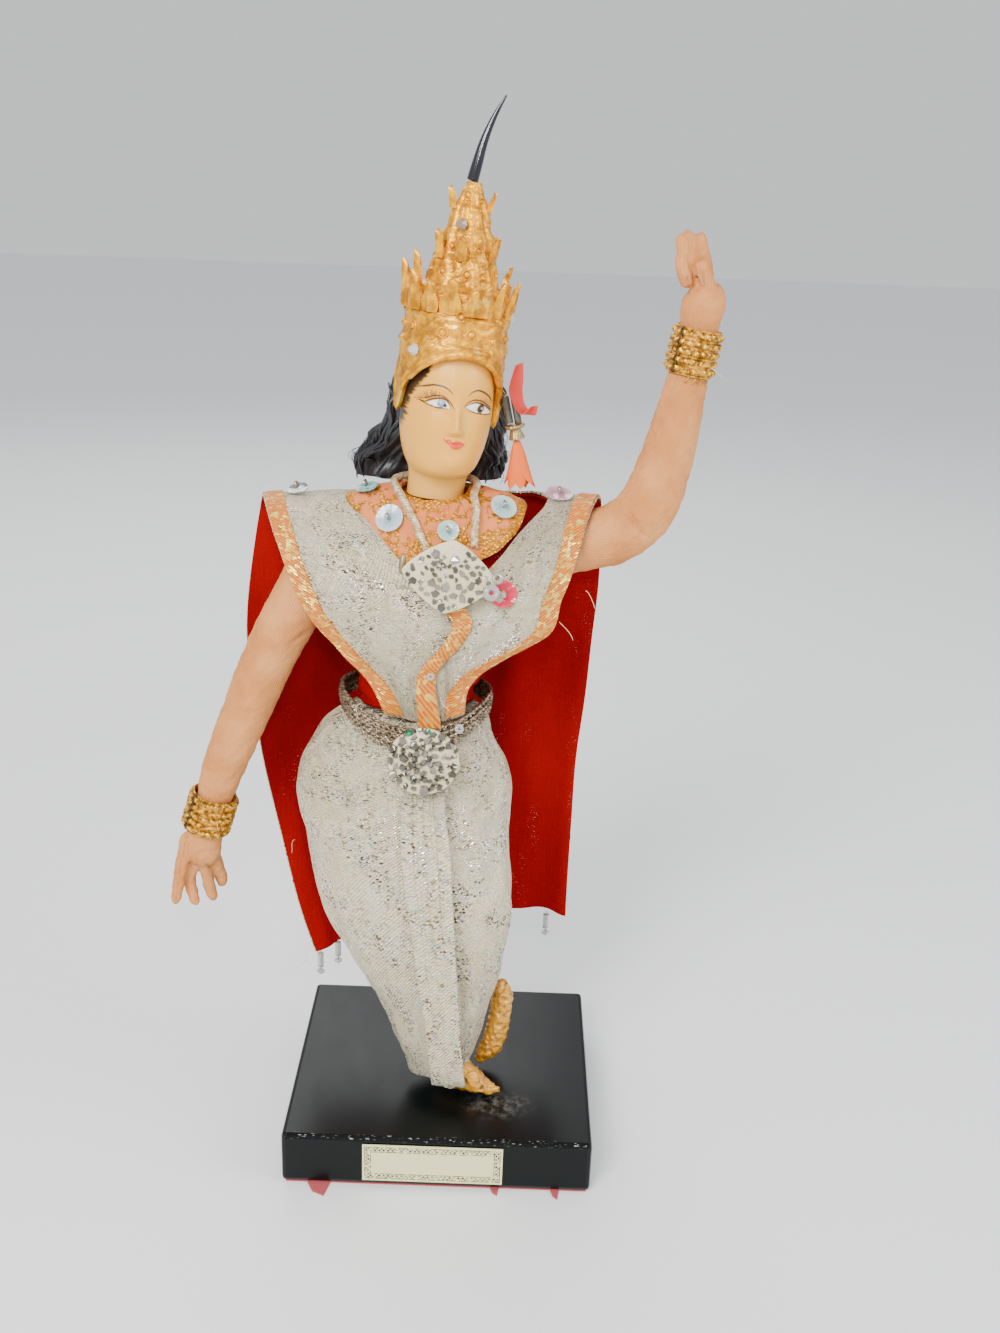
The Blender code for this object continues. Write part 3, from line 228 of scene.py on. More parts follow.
lacquer = Coat("black_lacquer", coat_weight=0.06, coat_roughness=0.2, specular_ior_level=0.18)
spot = lacquer.place()
rubbed = lacquer.step(lacquer.noise(lacquer.stretch(spot, 0.35, 1, 1), 2600, 4), 0.60, 0.72)
across, depth, height = lacquer.split(spot)
front_edge = lacquer.step(depth, -0.0352, -0.0366) * lacquer.step(height, 0.0148, 0.0161)
dust_x = across - 0.0165
dust_y = (depth + 0.021) * 1.5
dusty = 1 - lacquer.step((dust_x * dust_x + dust_y * dust_y).math("SQRT"), 0.002, 0.012)
dusty = dusty * lacquer.step(lacquer.noise(spot, 420, 5, 0.7), 0.42, 0.68)
worn = lacquer.mix(front_edge * rubbed, (0.0012, 0.0024, 0.0026), (0.55, 0.52, 0.48))
worn = lacquer.mix(dusty * 0.30, worn, (0.32, 0.31, 0.29))
smear = lacquer.noise(lacquer.stretch(spot, 1, 0.4, 1), 90, 4, 0.6)
lacquer.vary(base_color=worn, roughness=0.22 + smear * 0.22 + dusty * 0.3)
lacquer.relief(lacquer.noise(spot, 700, 3), 0.00003, 0.25)
recoat(lacquer, "base_block")

red_felt = Coat("red_felt", roughness=0.95, sheen_weight=0.3)
fluff = red_felt.noise(red_felt.place(), 2200, 5, 0.7)
red_felt.vary(base_color=red_felt.mix(fluff, (0.25, 0.015, 0.02), (0.60, 0.08, 0.09)))
red_felt.relief(fluff, 0.0002, 0.7)
recoat(red_felt, "base_felt")

plate = Coat("printed_foil", metallic=0.25)
x, y, z = plate.split(plate.place())
across = (x + 0.0010) * 1000
up = (z - 0.00855) * 1000
from_side = 19.2 - across.math("ABSOLUTE")
from_edge = from_side.math("MINIMUM", 5.9 - up.math("ABSOLUTE"))
frame_line = plate.step(from_edge, 0.55, 0.68) * (1 - plate.step(from_edge, 0.82, 0.95))
inner_line = plate.step(from_edge, 2.1, 2.2) * (1 - plate.step(from_edge, 2.35, 2.45))
band = plate.step(from_edge, 0.95, 1.05) * (1 - plate.step(from_edge, 1.95, 2.05))
teeth = ((across + up) * 2.6).math("SINE") * ((across - up) * 2.6).math("SINE")
teeth = plate.step(teeth.math("ABSOLUTE"), 0.28, 0.40) * band
ink = frame_line.math("MAXIMUM", inner_line).math("MAXIMUM", teeth)
wear = plate.step(plate.noise(plate.place(), 900, 4, 0.6), 0.35, 0.55)
plate.vary(base_color=plate.mix(ink * wear, (0.80, 0.77, 0.42), (0.02, 0.02, 0.015)))
plate.vary(roughness=0.3 + plate.noise(plate.place(), 500) * 0.15)
recoat(plate, "base_label")


# Shoes
# Two soft shoes folded from crumpled gold foil paper with turned-up toes, glued to the
# block: one flat in front, one standing on its toe behind.
def flow(rows, place):
    """The smooth curve through rows of numbers, read at places counted in rows."""
    rows = np.asarray(rows, float)
    ends = np.vstack([2 * rows[0] - rows[1], rows, 2 * rows[-1] - rows[-2]])
    i = np.clip(np.floor(place).astype(int), 0, len(rows) - 2)
    t = (place - i)[..., None]
    a, b, c, d = (ends[i + k] for k in range(4))
    bend = (2 * a - 5 * b + 4 * c - d) * t * t + (3 * b - a - 3 * c + d) * t**3
    return 0.5 * (2 * b + (c - a) * t + bend)


def wobble(points, size, seed=0, waves=14):
    """Smooth seeded unevenness of about -1 to 1, with lumps of a size in millimetres."""
    draw = np.random.default_rng(seed)
    turns = draw.normal(size=(waves, 3))
    lengths = size * draw.uniform(0.6, 1.7, size=(waves, 1))
    turns *= FULL_TURN / lengths / np.linalg.norm(turns, axis=1, keepdims=True)
    return np.sin(points @ turns.T + draw.uniform(0, 7, waves)).sum(-1) / math.sqrt(waves)


def corners(piece):
    """The piece's points, in millimetres."""
    flat = np.empty(3 * len(piece.data.vertices))
    piece.data.vertices.foreach_get("co", flat)
    return flat.reshape(-1, 3) * 1000


def move(piece, points):
    """Moves the piece's points to new places, given in millimetres."""
    piece.data.vertices.foreach_set("co", (np.asarray(points) / 1000).ravel())
    piece.data.update()


def outward(piece):
    """The direction in which the surface faces at each point."""
    flat = np.empty(3 * len(piece.data.vertices))
    piece.data.vertex_normals.foreach_get("vector", flat)
    return flat.reshape(-1, 3)


def swell(piece, amount):
    """Pushes the piece's points outwards by an amount in millimetres at each."""
    move(piece, corners(piece) + outward(piece) * np.asarray(amount)[:, None])


def store(piece, **values):
    """Writes values at a piece's points, for its material to read by their names."""
    for name, value in values.items():
        value = np.broadcast_to(value, len(piece.data.vertices)).astype(np.float32)
        piece.data.attributes.new(name, "FLOAT", "POINT").data.foreach_set("value", value)


def lay(name, columns, rows, surface, size=(1, 1), paint=None):
    """A cloth-like grid laid over a surface of (u, v), with a flat size in mm as its UV map.

    Each paint is a value of (u, v) that a material can read under its name.
    """
    clear()
    bpy.ops.mesh.primitive_grid_add(x_subdivisions=columns, y_subdivisions=rows, size=1)
    made = bpy.context.object
    made.name = made.data.name = name
    flat = corners(made) / 1000 + 0.5
    u, v = flat[:, 0], flat[:, 1]
    move(made, surface(u, v))
    cloth = made.data.uv_layers.active.uv
    places = np.empty(2 * len(cloth))
    cloth.foreach_get("vector", places)
    places = places.reshape(-1, 2) * np.array(size) / 100
    cloth.foreach_set("vector", places.ravel())
    store(made, **{key: value(u, v) for key, value in (paint or {}).items()})
    return made


def pick(piece):
    """Leaves one piece selected and active."""
    clear()
    piece.select_set(True)
    bpy.context.view_layer.objects.active = piece


def edit(piece, *steps):
    """Runs edit mode operators on all of a piece."""
    pick(piece)
    bpy.ops.object.mode_set(mode="EDIT")
    bpy.ops.mesh.select_all(action="SELECT")
    for step in steps:
        step()
    bpy.ops.object.mode_set(mode="OBJECT")


def weld(reach=0.000005):
    bpy.ops.mesh.remove_doubles(threshold=reach)


def face_out():
    bpy.ops.mesh.normals_make_consistent(inside=False)


def finish(piece, kind, **settings):
    """Adds a modifier with its settings and applies it."""
    pick(piece)
    change = piece.modifiers.new(kind.lower(), kind)
    for key, value in settings.items():
        setattr(change, key, value)
    bpy.ops.object.modifier_apply(modifier=change.name)
    return piece


def smooth(piece, angle=None):
    """Shades a piece smooth, or only its edges flatter than an angle in degrees."""
    pick(piece)
    if angle is None:
        bpy.ops.object.shade_smooth()
    else:
        bpy.ops.object.shade_smooth_by_angle(angle=math.radians(angle))
    return piece


def ringed(name, columns, rows, surface, size=(1, 1)):
    """A round closed body: a grid whose sides meet and whose ends draw in to a point."""
    made = lay(name, columns, rows, surface, size)
    edit(made, weld, face_out)
    return smooth(made)


def unit(rows):
    """Each row of numbers scaled to a length of 1."""
    return rows / np.linalg.norm(rows, axis=1, keepdims=True)


def around(rows, face=(0, 0, 1), ends=0.06):
    """A surface round a path: rows hold its middle, half width and half height in mm."""
    rows = np.asarray(rows, float)
    last = len(rows) - 1

    def surface(u, v):
        at = flow(rows, v * last)
        run = flow(rows[:, :3], np.minimum(v * last + 0.05, last))
        run -= flow(rows[:, :3], np.maximum(v * last - 0.05, 0))
        run = unit(run)
        side = unit(np.cross(run, face))
        up = np.cross(side, run)
        near = np.clip(np.minimum(v, 1 - v) / ends, 0, 1)
        close = np.sqrt(np.maximum(1 - (1 - near) ** 2, 0))
        turn = FULL_TURN * u
        out = side * (at[:, 3] * np.cos(turn) * close)[:, None]
        return at[:, :3] + out + up * (at[:, 4] * np.sin(turn) * close)[:, None]

    return surface


foil = Coat("gold_foil", coat_weight=0.4, coat_roughness=0.15)
spot = foil.place()
crumple = foil.cells(spot, 620)
stain = foil.step(foil.noise(spot, 380, 5, 0.65), 0.56, 0.66)
gleam = foil.step(foil.noise(spot, 800, 3), 0.60, 0.72)
tone = foil.mix(foil.noise(spot, 260), (0.62, 0.24, 0.012), (0.86, 0.42, 0.03))
tone = foil.mix(stain * 0.8, tone, (0.15, 0.05, 0.006))
foil.vary(base_color=foil.mix(gleam * 0.6, tone, (0.98, 0.74, 0.22)))
foil.vary(metallic=0.35 + gleam * 0.4, roughness=0.38 - gleam * 0.16)
foil.relief(crumple, 0.0006, 0.6)

SOLE_HEIGHT = 16.75
SHOES = {
    "front_shoe": [
        (-2.5, -12.5, 20.6, 1.2, 1.6),
        (0.5, -13.2, 20.8, 3.2, 3.6),
        (4.5, -14.2, 21.8, 3.9, 4.9),
        (8.5, -15.3, 20.6, 3.8, 3.8),
        (12.5, -16.3, 18.9, 2.8, 2.2),
        (15.2, -16.9, 18.5, 1.6, 1.5),
        (16.8, -17.2, 19.3, 0.7, 0.9),
    ],
    "back_shoe": [
        (9.3, -4.6, 19.2, 1, 0.9),
        (11.2, -3.9, 20.2, 2.2, 2.3),
        (14, -2.9, 23.5, 3.3, 3.4),
        (15.6, -1.6, 28.5, 3.4, 3.5),
        (16.4, -0.4, 34.5, 3.3, 3),
        (16.8, 0.8, 39.5, 3, 2.7),
        (16, 1.6, 43.2, 1.4, 1.4),
    ],
}
for name, rows in SHOES.items():
    shoe = ringed(name + "_foil", 72, 90, around(rows, ends=0.05))
    points = corners(shoe)
    creases = -np.abs(wobble(points, 3.4, 3)) * 0.32 + wobble(points, 1.3, 4) * 0.07
    swell(shoe, creases)
    points = corners(shoe)
    points[:, 2] = np.maximum(points[:, 2], SOLE_HEIGHT)
    move(shoe, points)
    dress(shoe, foil, "gold_foil", name)


# Trousers
# Silver brocade sewn into a bag, stuffed, gathered at the waist, tucked into a swirl at
# each hip and drawn in at the ankles; a pleated panel of the same cloth hangs in front.
TROUSER_ROWS = [
    (22.3, -9.7, 7, -18.5, -1),
    (31, -13.6, 10.2, -19, 2),
    (44, -18.8, 13.4, -20.5, 4.5),
    (58, -27, 16.6, -23, 8),
    (74, -34.6, 18.4, -26, 11.5),
    (92, -38.3, 16.4, -28, 14.5),
    (106, -41, 16.2, -28.5, 15.5),
    (116, -39.2, 14.3, -27, 14),
    (124.5, -34, 10.4, -22.5, 10),
    (130.4, -27, 8.4, -17.5, 6.5),
]


def trouser_surface(u, v):
    """The bag of the trousers, closed above the waist and at the ankles."""
    inner = np.clip((v - 0.02) / 0.96, 0, 1)
    z, left, right, front, back = flow(TROUSER_ROWS, inner * (len(TROUSER_ROWS) - 1)).T
    turn = FULL_TURN * (u + 0.25)
    close = np.sqrt(np.clip(np.minimum(v, 1 - v) / 0.02, 0, 1))
    x = (left + right) / 2 + (right - left) / 2 * np.cos(turn) * close
    y = (front + back) / 2 + (back - front) / 2 * np.sin(turn) * close
    return np.column_stack((x, y, z))


def ridges(points, lines):
    """Folds drawn as seen from the front: each line has a height, a width and (x, z) places."""
    raised = np.zeros(len(points))
    flat = points[:, (0, 2)]
    for height, width, path in lines:
        path = flow(path, np.linspace(0, len(path) - 1, 14))
        best = np.full(len(points), 1e9)
        along = np.zeros(len(points))
        for i, (a, b) in enumerate(zip(path, path[1:])):
            leg = b - a
            share = np.clip((flat - a) @ leg / (leg @ leg), 0, 1)
            gap = np.linalg.norm(flat - a - share[:, None] * leg, axis=1)
            nearer = gap < best
            best = np.where(nearer, gap, best)
            along = np.where(nearer, (i + share) / (len(path) - 1), along)
        taper = np.sin(math.pi * np.clip(along, 0.04, 0.96)) ** 0.6
        raised += height * taper * np.exp(-((best / width) ** 2))
    return raised


TROUSER_FOLDS = [
    (0.9, 1.5, [(-20.5, 121.6), (-21.5, 113.1), (-23.1, 105.9)]),
    (-0.8, 1, [(-19, 123), (-19.2, 113), (-20.2, 104)]),
    (0.9, 1.5, [(-17.9, 124.9), (-17, 109.5), (-15.6, 98)]),
    (-0.7, 1, [(-16.3, 124.5), (-15.4, 109.5), (-14.2, 96)]),
    (0.8, 1.5, [(-15, 126.1), (-13.6, 107.3), (-12.1, 86.9)]),
    (0.8, 1.3, [(-22.2, 124.5), (-24.8, 118.1), (-26, 113.8)]),
    (-0.9, 1.2, [(-24, 122.5), (-26.4, 117.5), (-27, 113.5)]),
    (1.5, 2.1, [(-32.4, 100.6), (-28.4, 101.4), (-25.2, 105), (-24, 110.6)]),
    (-0.8, 1.2, [(-31, 104), (-28, 104.8), (-26.2, 108.2)]),
    (1, 1.5, [(-26.9, 111.2), (-31.4, 115.3), (-35.8, 120.7)]),
    (-0.8, 1, [(-27.6, 113.4), (-31.8, 117.6), (-35, 121.8)]),
    (1, 1.4, [(-26.5, 116.4), (-31, 118.9), (-34.4, 122)]),
    (0.9, 1.4, [(-27.9, 110.4), (-32.1, 108.1), (-36.4, 104.4)]),
    (-0.8, 1.1, [(-28, 108.8), (-31.4, 106.2), (-34.4, 102.6)]),
    (-2, 2, [(-26.9, 114.2), (-26.3, 112.6), (-25.8, 111.2)]),
    (1.3, 1.5, [(15, 119.1), (16, 114.4), (15.2, 110.4), (12.6, 107.4), (7.4, 106)]),
    (-1.2, 1.3, [(13.8, 113.6), (12.4, 110.6), (8.6, 108.8), (4.8, 108.6)]),
    (0.6, 1.8, [(5.6, 125.7), (9.6, 121.6), (13.6, 118.3)]),
    (-0.5, 1.3, [(7, 127), (10.9, 122.6), (14, 120)]),
    (0.7, 2.2, [(4.7, 113.2), (7.6, 103.2), (9.3, 82.5)]),
    (-0.6, 1.4, [(7.6, 108), (10.6, 98), (12, 84)]),
    (0.6, 2.6, [(12.4, 100), (13.6, 84), (12, 62)]),
    (0.7, 2.4, [(-18, 94), (-16, 70), (-9.5, 44)]),
    (-0.6, 1.6, [(-22, 92), (-19.6, 70), (-12.5, 42)]),
    (0.6, 2.4, [(-28, 96), (-25, 72), (-16.5, 46)]),
    (-0.5, 1.6, [(-32, 92), (-28.6, 70), (-19.5, 46)]),
    (0.6, 1.8, [(7, 66), (7.4, 50), (7.8, 34)]),
    (-0.6, 1.1, [(4.6, 70), (5.6, 50), (6.6, 32)]),
    (0.5, 1.2, [(-6, 40), (-5, 32), (-4.4, 26)]),
    (-0.5, 0.9, [(-8, 38), (-7.2, 31), (-6.4, 26)]),
]

brocade = Coat("silver_brocade", specular_ior_level=0.3)
weft = brocade.cloth()
warp_turn = {"Vector": weft, "Rotation": (0, 0, math.radians(58)), "Scale": (1, 1, 1)}
turned = brocade.node("ShaderNodeMapping", None, warp_turn)
twill = brocade.node("ShaderNodeTexWave", {"bands_direction": "X"},
                     {"Vector": turned, "Scale": 46, "Distortion": 0.8, "Detail": 1})
dashes = brocade.stretch(weft, 1.0, 2.1)
fleck_edge = brocade.cells(dashes, 96)
red_part, green_part, blue_part = brocade.split(brocade.cells(dashes, 96, 1), "Color")
patch = brocade.noise(weft, 11, 4, 0.62)
flower = brocade.step(patch, 0.44, 0.54)
thread = 1 - brocade.step(fleck_edge, 0.42, 0.66)
dark = brocade.step(red_part, 0.44, 0.48) * brocade.step(brocade.noise(weft, 9, 4, 0.65), 0.42, 0.54)
dark = dark * thread * (0.30 + flower * 0.70)
bright = brocade.step(green_part, 0.52, 0.58) * thread * (0.35 + flower * 0.65)
ground = brocade.mix(brocade.noise(weft, 30), (0.72, 0.62, 0.38), (0.96, 0.89, 0.64))
ground = brocade.mix(twill * 0.32, ground, (0.36, 0.28, 0.15))
yellowed = brocade.step(brocade.noise(weft, 5, 2), 0.52, 0.70)
ground = brocade.mix(yellowed * 0.40, ground, (0.66, 0.50, 0.22))
shade = brocade.mix(blue_part, (0.018, 0.010, 0.006), (0.20, 0.09, 0.03))
tone = brocade.mix(dark * 0.95, ground, shade)
brocade.vary(base_color=brocade.mix(bright * 0.9, tone, (1.0, 1.0, 0.98)))
brocade.vary(metallic=bright * 0.9 + dark * 0.4, roughness=0.52 - bright * 0.34 - dark * 0.12)
lumps = twill * 0.5 + thread * 0.5 + bright * 0.7
brocade.relief(lumps, 0.0005, 1.0)

trousers = ringed("brocade_trousers", 270, 200, trouser_surface, (185, 118))
points = corners(trousers)
middle = points[:, 0] + 11.5
around_turn = np.arctan2(points[:, 1] + 6.5, middle)
waistline = np.exp(-(((points[:, 2] - 130) / 8) ** 2))
gathers = np.cos(34 * around_turn + 0.8 * np.sin(5 * around_turn)) * waistline * 0.42
ankle = np.exp(-(((points[:, 2] - 22) / 9) ** 2))
gathers += np.cos(17 * around_turn + 1.3) * ankle * 0.35
facing = np.clip(-outward(trousers)[:, 1] * 1.4 + 0.25, 0, 1)
folds = ridges(points, TROUSER_FOLDS) * facing
soft = wobble(points * (1, 1, 0.55), 13, 5) * 0.42 + wobble(points * (1, 1, 0.5), 5, 6) * 0.12
back_folds = np.cos(11 * around_turn + 0.04 * points[:, 2] + 1.1) * (1 - facing) * 0.6
swell(trousers, gathers + folds + soft + back_folds)
points = corners(trousers)
for name, rows in SHOES.items():
    for x, y, z, wide, tall in rows[1:-1]:
        gap = points - (x, y, z)
        far = np.linalg.norm(gap, axis=1)
        push = np.clip(max(wide, tall) + 0.35 - far, 0, None)
        points += gap / np.maximum(far, 0.1)[:, None] * push[:, None] * 0.8
move(trousers, points)
dress(trousers, brocade, "silver_brocade", "trousers")

PANEL_ROWS = [
    (21.8, -2, 7.2, -20.8),
    (24, -2.2, 7, -21.2),
    (40, -3.8, 5.4, -23),
    (60, -6.8, 3.6, -25.8),
    (80, -9, 2.6, -28.6),
    (100, -10.6, 1.8, -30.1),
    (112, -10.8, 0, -29.2),
    (117.5, -10.6, -0.4, -27.5),
]


def panel_surface(u, v):
    """The hanging panel, with four small pleats and two steps across it."""
    z, left, right, y = flow(PANEL_ROWS, v * (len(PANEL_ROWS) - 1)).T
    pleat = 0.62 * np.abs(np.sin(math.pi * 4 * u)) ** 0.6 - 0.25
    steps = np.interp(u, (0, 0.30, 0.34, 0.62, 0.66, 1), (0.1, 0.5, 0.0, 0.5, 0.0, 0.45))
    fade = np.clip((v - 0.25) / 0.35, 0.25, 1)
    x = left + (right - left) * u + 0.35 * np.sin(0.09 * z + 2)
    hem = np.where(v < 0.02, 0.6 * np.sin(9 * u), 0)
    sway = 0.35 * np.sin(0.11 * z + 3 * u)
    return np.column_stack((x, y + 0.4 - (pleat + steps) * fade + sway, z + hem))


panel = lay("brocade_panel", 64, 170, panel_surface, (11, 96))
finish(panel, "SOLIDIFY", thickness=0.0005, offset=0)
swell(panel, wobble(corners(panel), 4.5, 8) * 0.07)
dress(smooth(panel), brocade, "silver_brocade", "pleat_panel")

ribbon = Coat("gold_ribbon", roughness=0.42)
weave = ribbon.cloth()
rib_lines = {"Vector": weave, "Scale": 48, "Distortion": 1.2, "Detail": 2}
ribs = ribbon.node("ShaderNodeTexWave", {"bands_direction": "DIAGONAL"}, rib_lines)
glint = next(ribbon.split(ribbon.cells(weave, 95, 1), "Color"))
spread = ribbon.step(ribbon.noise(weave, 14, 3), 0.42, 0.6)
glint = ribbon.step(glint, 0.66, 0.72) * (0.25 + spread * 0.75)
worn_dark = ribbon.step(ribbon.noise(weave, 22, 4, 0.7), 0.58, 0.70)
tone = ribbon.mix(ribs, (0.42, 0.10, 0.0), (0.82, 0.24, 0.0))
tone = ribbon.mix(worn_dark * 0.7, tone, (0.16, 0.06, 0.004))
ribbon.vary(base_color=ribbon.mix(glint, tone, (1.0, 0.74, 0.16)))
ribbon.vary(metallic=glint * 0.8, roughness=0.5 - glint * 0.3)
ribbon.relief(ribs + glint, 0.0002, 0.7)

glass = Coat("clear_glass", roughness=0.06, ior=1.5, transmission_weight=0.55)
glass.vary(base_color=(0.62, 0.63, 0.60), coat_weight=0.6)


def ball(name, place, radius, stretch=(1, 1, 1), hole=0.0):
    """A turned bead with a hole down its middle, its axis upright."""
    clear()
    if hole:
        bpy.ops.mesh.primitive_torus_add(
            major_segments=20, minor_segments=10,
            major_radius=(radius + hole) / 2000, minor_radius=(radius - hole) / 2000,
        )
    else:
        bpy.ops.mesh.primitive_uv_sphere_add(segments=20, ring_count=12, radius=radius / 1000)
    made = bpy.context.object
    made.name = made.data.name = name
    move(made, corners(made) * stretch + np.asarray(place, float))
    return smooth(made)


def sit(piece, place, way, spin=0.0):
    """Turns a piece made at the origin so that its +Z looks a way, and carries it to a place."""
    up = Vector(way).normalized()
    side = up.cross(Vector((0, -1, 0)) if abs(up.y) < 0.98 else Vector((0, 0, 1))).normalized()
    turned = Matrix((side, up.cross(side), up)).transposed()
    turned = turned @ Matrix.Rotation(spin, 3, "Z")
    move(piece, corners(piece) @ np.array(turned).T + np.asarray(place, float))
    return piece


hip = ball("hip_bead_glass", (0, 0, 0), 1.0, (1, 1, 0.8), 0.35)
dress(sit(hip, (-26.2, -26.9, 113.3), (0.3, -0.8, 0.5)), glass, "grey_glass", "hip_bead")


# Shawl
# One long cloth of silver brocade lined with red cotton: two panels down the chest, over
# the shoulders, and down the back as a cape. Gold ribbon is sewn round its outer edges.
red_cotton = Coat("red_cotton", roughness=0.95, specular_ior_level=0.05)
weave = red_cotton.place()
down_threads = red_cotton.stretch(weave, 1, 0.6, 0.07)
cross_threads = red_cotton.stretch(weave, 0.09, 0.6, 1)
slub = red_cotton.noise(down_threads, 2600, 2) + red_cotton.noise(cross_threads, 2600, 2)
worn_grid = red_cotton.noise(red_cotton.stretch(weave, 1, 1, 0.25), 95, 4, 0.65)
pins = red_cotton.cells(red_cotton.stretch(weave, 1, 0.5, 1), 1500)
light_pins = (1 - red_cotton.step(pins, 0.10, 0.24)) * red_cotton.step(worn_grid, 0.52, 0.66)
red_tone = red_cotton.mix(slub * 0.5, (0.20, 0.0006, 0.0008), (0.38, 0.002, 0.002))
red_cotton.vary(base_color=red_cotton.mix(light_pins * 0.42, red_tone, (0.86, 0.50, 0.46)))
red_cotton.relief(slub, 0.00012, 0.6)

SHAWL_ROWS = [
    ((-16, -16.6, 133), (-6.6, -17.8, 131.6), (-4.6, -17.8, 131.6), (3.6, -16.6, 134), 0),
    ((-20.4, -16.6, 142), (-6.2, -19, 141), (-4.2, -19, 141), (5, -17.6, 142), -0.3),
    ((-27, -16.2, 149.4), (-4, -20.6, 148.5), (-2, -20.6, 148.5), (11.5, -17.4, 149.2), -1.5),
    ((-33.8, -16.2, 157), (0, -21.6, 156), (2, -21.6, 156), (24, -16.4, 157), -3),
    ((-38.6, -16.6, 165.5), (-1, -20.8, 164), (1, -20.8, 164), (27.2, -16.4, 166), -3.4),
    ((-42.4, -16, 175), (-13.6, -17.8, 174.5), (10.6, -18, 174), (30.4, -16, 175.5), -1.4),
    ((-45.4, -13.5, 181.5), (-20.4, -13.2, 181), (16.6, -13.6, 180.6), (32.4, -13.6, 182.6), -0.5),
    ((-47.6, -8, 184.8), (-27, -8, 185.2), (22.5, -8, 186.2), (34.6, -8, 187), 0),
    ((-49.2, -1, 184.4), (-26.4, 0, 186), (22, 0, 186.6), (36.4, -1, 186.8), 0),
    ((-50.8, 4.6, 181), (-17, 6.8, 185), (12, 6.8, 185.6), (37.2, 5, 183.5), 0.6),
    ((-52.4, 6, 174), (-4, 9.6, 180), (-4, 9.6, 180), (37.5, 7, 177), 1.2),
    ((-54, 5, 162), (-5, 11.5, 164), (-5, 11.5, 164), (38, 9.5, 162), 1.8),
    ((-55.4, 5, 146), (-7, 15, 146), (-7, 15, 146), (37.3, 13, 145), 2.2),
    ((-54.4, 6, 128), (-8, 18, 127), (-8, 18, 127), (36.6, 16.5, 127), 2.4),
    ((-52.3, 7, 108), (-8, 20.4, 107), (-8, 20.4, 107), (35.2, 19, 107), 2.4),
    ((-48.2, 8, 86), (-7, 21.6, 87), (-7, 21.6, 87), (35, 20.4, 87), 2.2),
    ((-44, 8.6, 64), (-6, 22.6, 68), (-6, 22.6, 68), (34.9, 21, 69), 2),
    ((-38.8, 9, 45.6), (-6, 23.2, 53.6), (-6, 23.2, 53.6), (35, 21.4, 54.4), 1.8),
]
SHAWL_TABLE = np.array([[*a, *b, *c, *d, bow] for a, b, c, d, bow in SHAWL_ROWS])
LAST_ROW = len(SHAWL_ROWS) - 1
JOINED_ROW = 10
HALF_WIDTH, SHAWL_LENGTH = 46, 214
RIBBON_WIDTH, RIBBON_EDGE = 4.8, 0.3
CHEST_FOLDS = [
    (0.9, 1.8, [(-20.9, 164.6), (-24.3, 168.4), (-28.3, 176)]),
    (-0.8, 1.2, [(-20.4, 166.2), (-22.2, 171), (-25, 178)]),
    (0.8, 1.6, [(-20.9, 168.2), (-21, 173), (-22.6, 179.5)]),
    (0.8, 1.8, [(-20.6, 163.4), (-25.9, 162.4), (-31.2, 163.6)]),
    (-0.8, 1.2, [(-20.8, 162.2), (-25, 159.6), (-29, 158.6)]),
    (-1.3, 1.4, [(-21, 168.4), (-20.7, 164), (-20.2, 160)]),
    (0.9, 1.8, [(-20, 160.8), (-18.4, 154.3), (-16.4, 148)]),
    (-1, 1.5, [(-15.8, 174), (-15.2, 167.8), (-17.4, 158), (-17.6, 152)]),
    (0.8, 2, [(-12.6, 170), (-12, 164), (-14, 157)]),
    (-0.9, 1.2, [(-17.5, 150), (-14.3, 142.1), (-11.1, 134)]),
    (0.7, 1.3, [(-14.5, 149), (-11.6, 141), (-9.4, 133)]),
    (-0.7, 1, [(-11, 147.5), (-9.4, 139.6), (-8.2, 132.4)]),
    (0.7, 1.2, [(1.6, 152.6), (0.9, 144), (1.1, 133.5)]),
    (-0.8, 0.9, [(-0.5, 154.6), (-0.8, 144), (-0.3, 133.1)]),
    (0.8, 1.8, [(12.9, 173.6), (10.8, 164.6), (5.4, 157.9), (3.1, 152.5)]),
    (-0.9, 1.4, [(15.4, 172.6), (13.6, 164.6), (8.6, 156.4), (5.4, 151)]),
    (0.8, 2, [(20.8, 182.6), (18.8, 173.5), (17.2, 164.1)]),
    (-0.7, 1.5, [(23.4, 182), (21.6, 173.5), (20.2, 164.1)]),
    (0.6, 2.2, [(-34, 183), (-31, 175), (-29, 168)]),
]


def shawl_bare(u, v):
    """The shawl without folds: u is -1 to 1 across both halves, v is the row."""
    row = flow(SHAWL_TABLE, np.clip(v, 0, LAST_ROW))
    left = (u < 0)[:, None]
    outer = np.where(left, row[:, 0:3], row[:, 9:12])
    inner = np.where(left, row[:, 3:6], row[:, 6:9])
    share = 1 - np.abs(u)
    place = outer + (inner - outer) * share[:, None]
    place[:, 1] += row[:, 12] * np.sin(math.pi * share**1.35)
    hang = np.clip((v - JOINED_ROW) / 4, 0, 1)
    place[:, 1] += 0.9 * hang * np.cos(15 * u + 0.6)
    return place


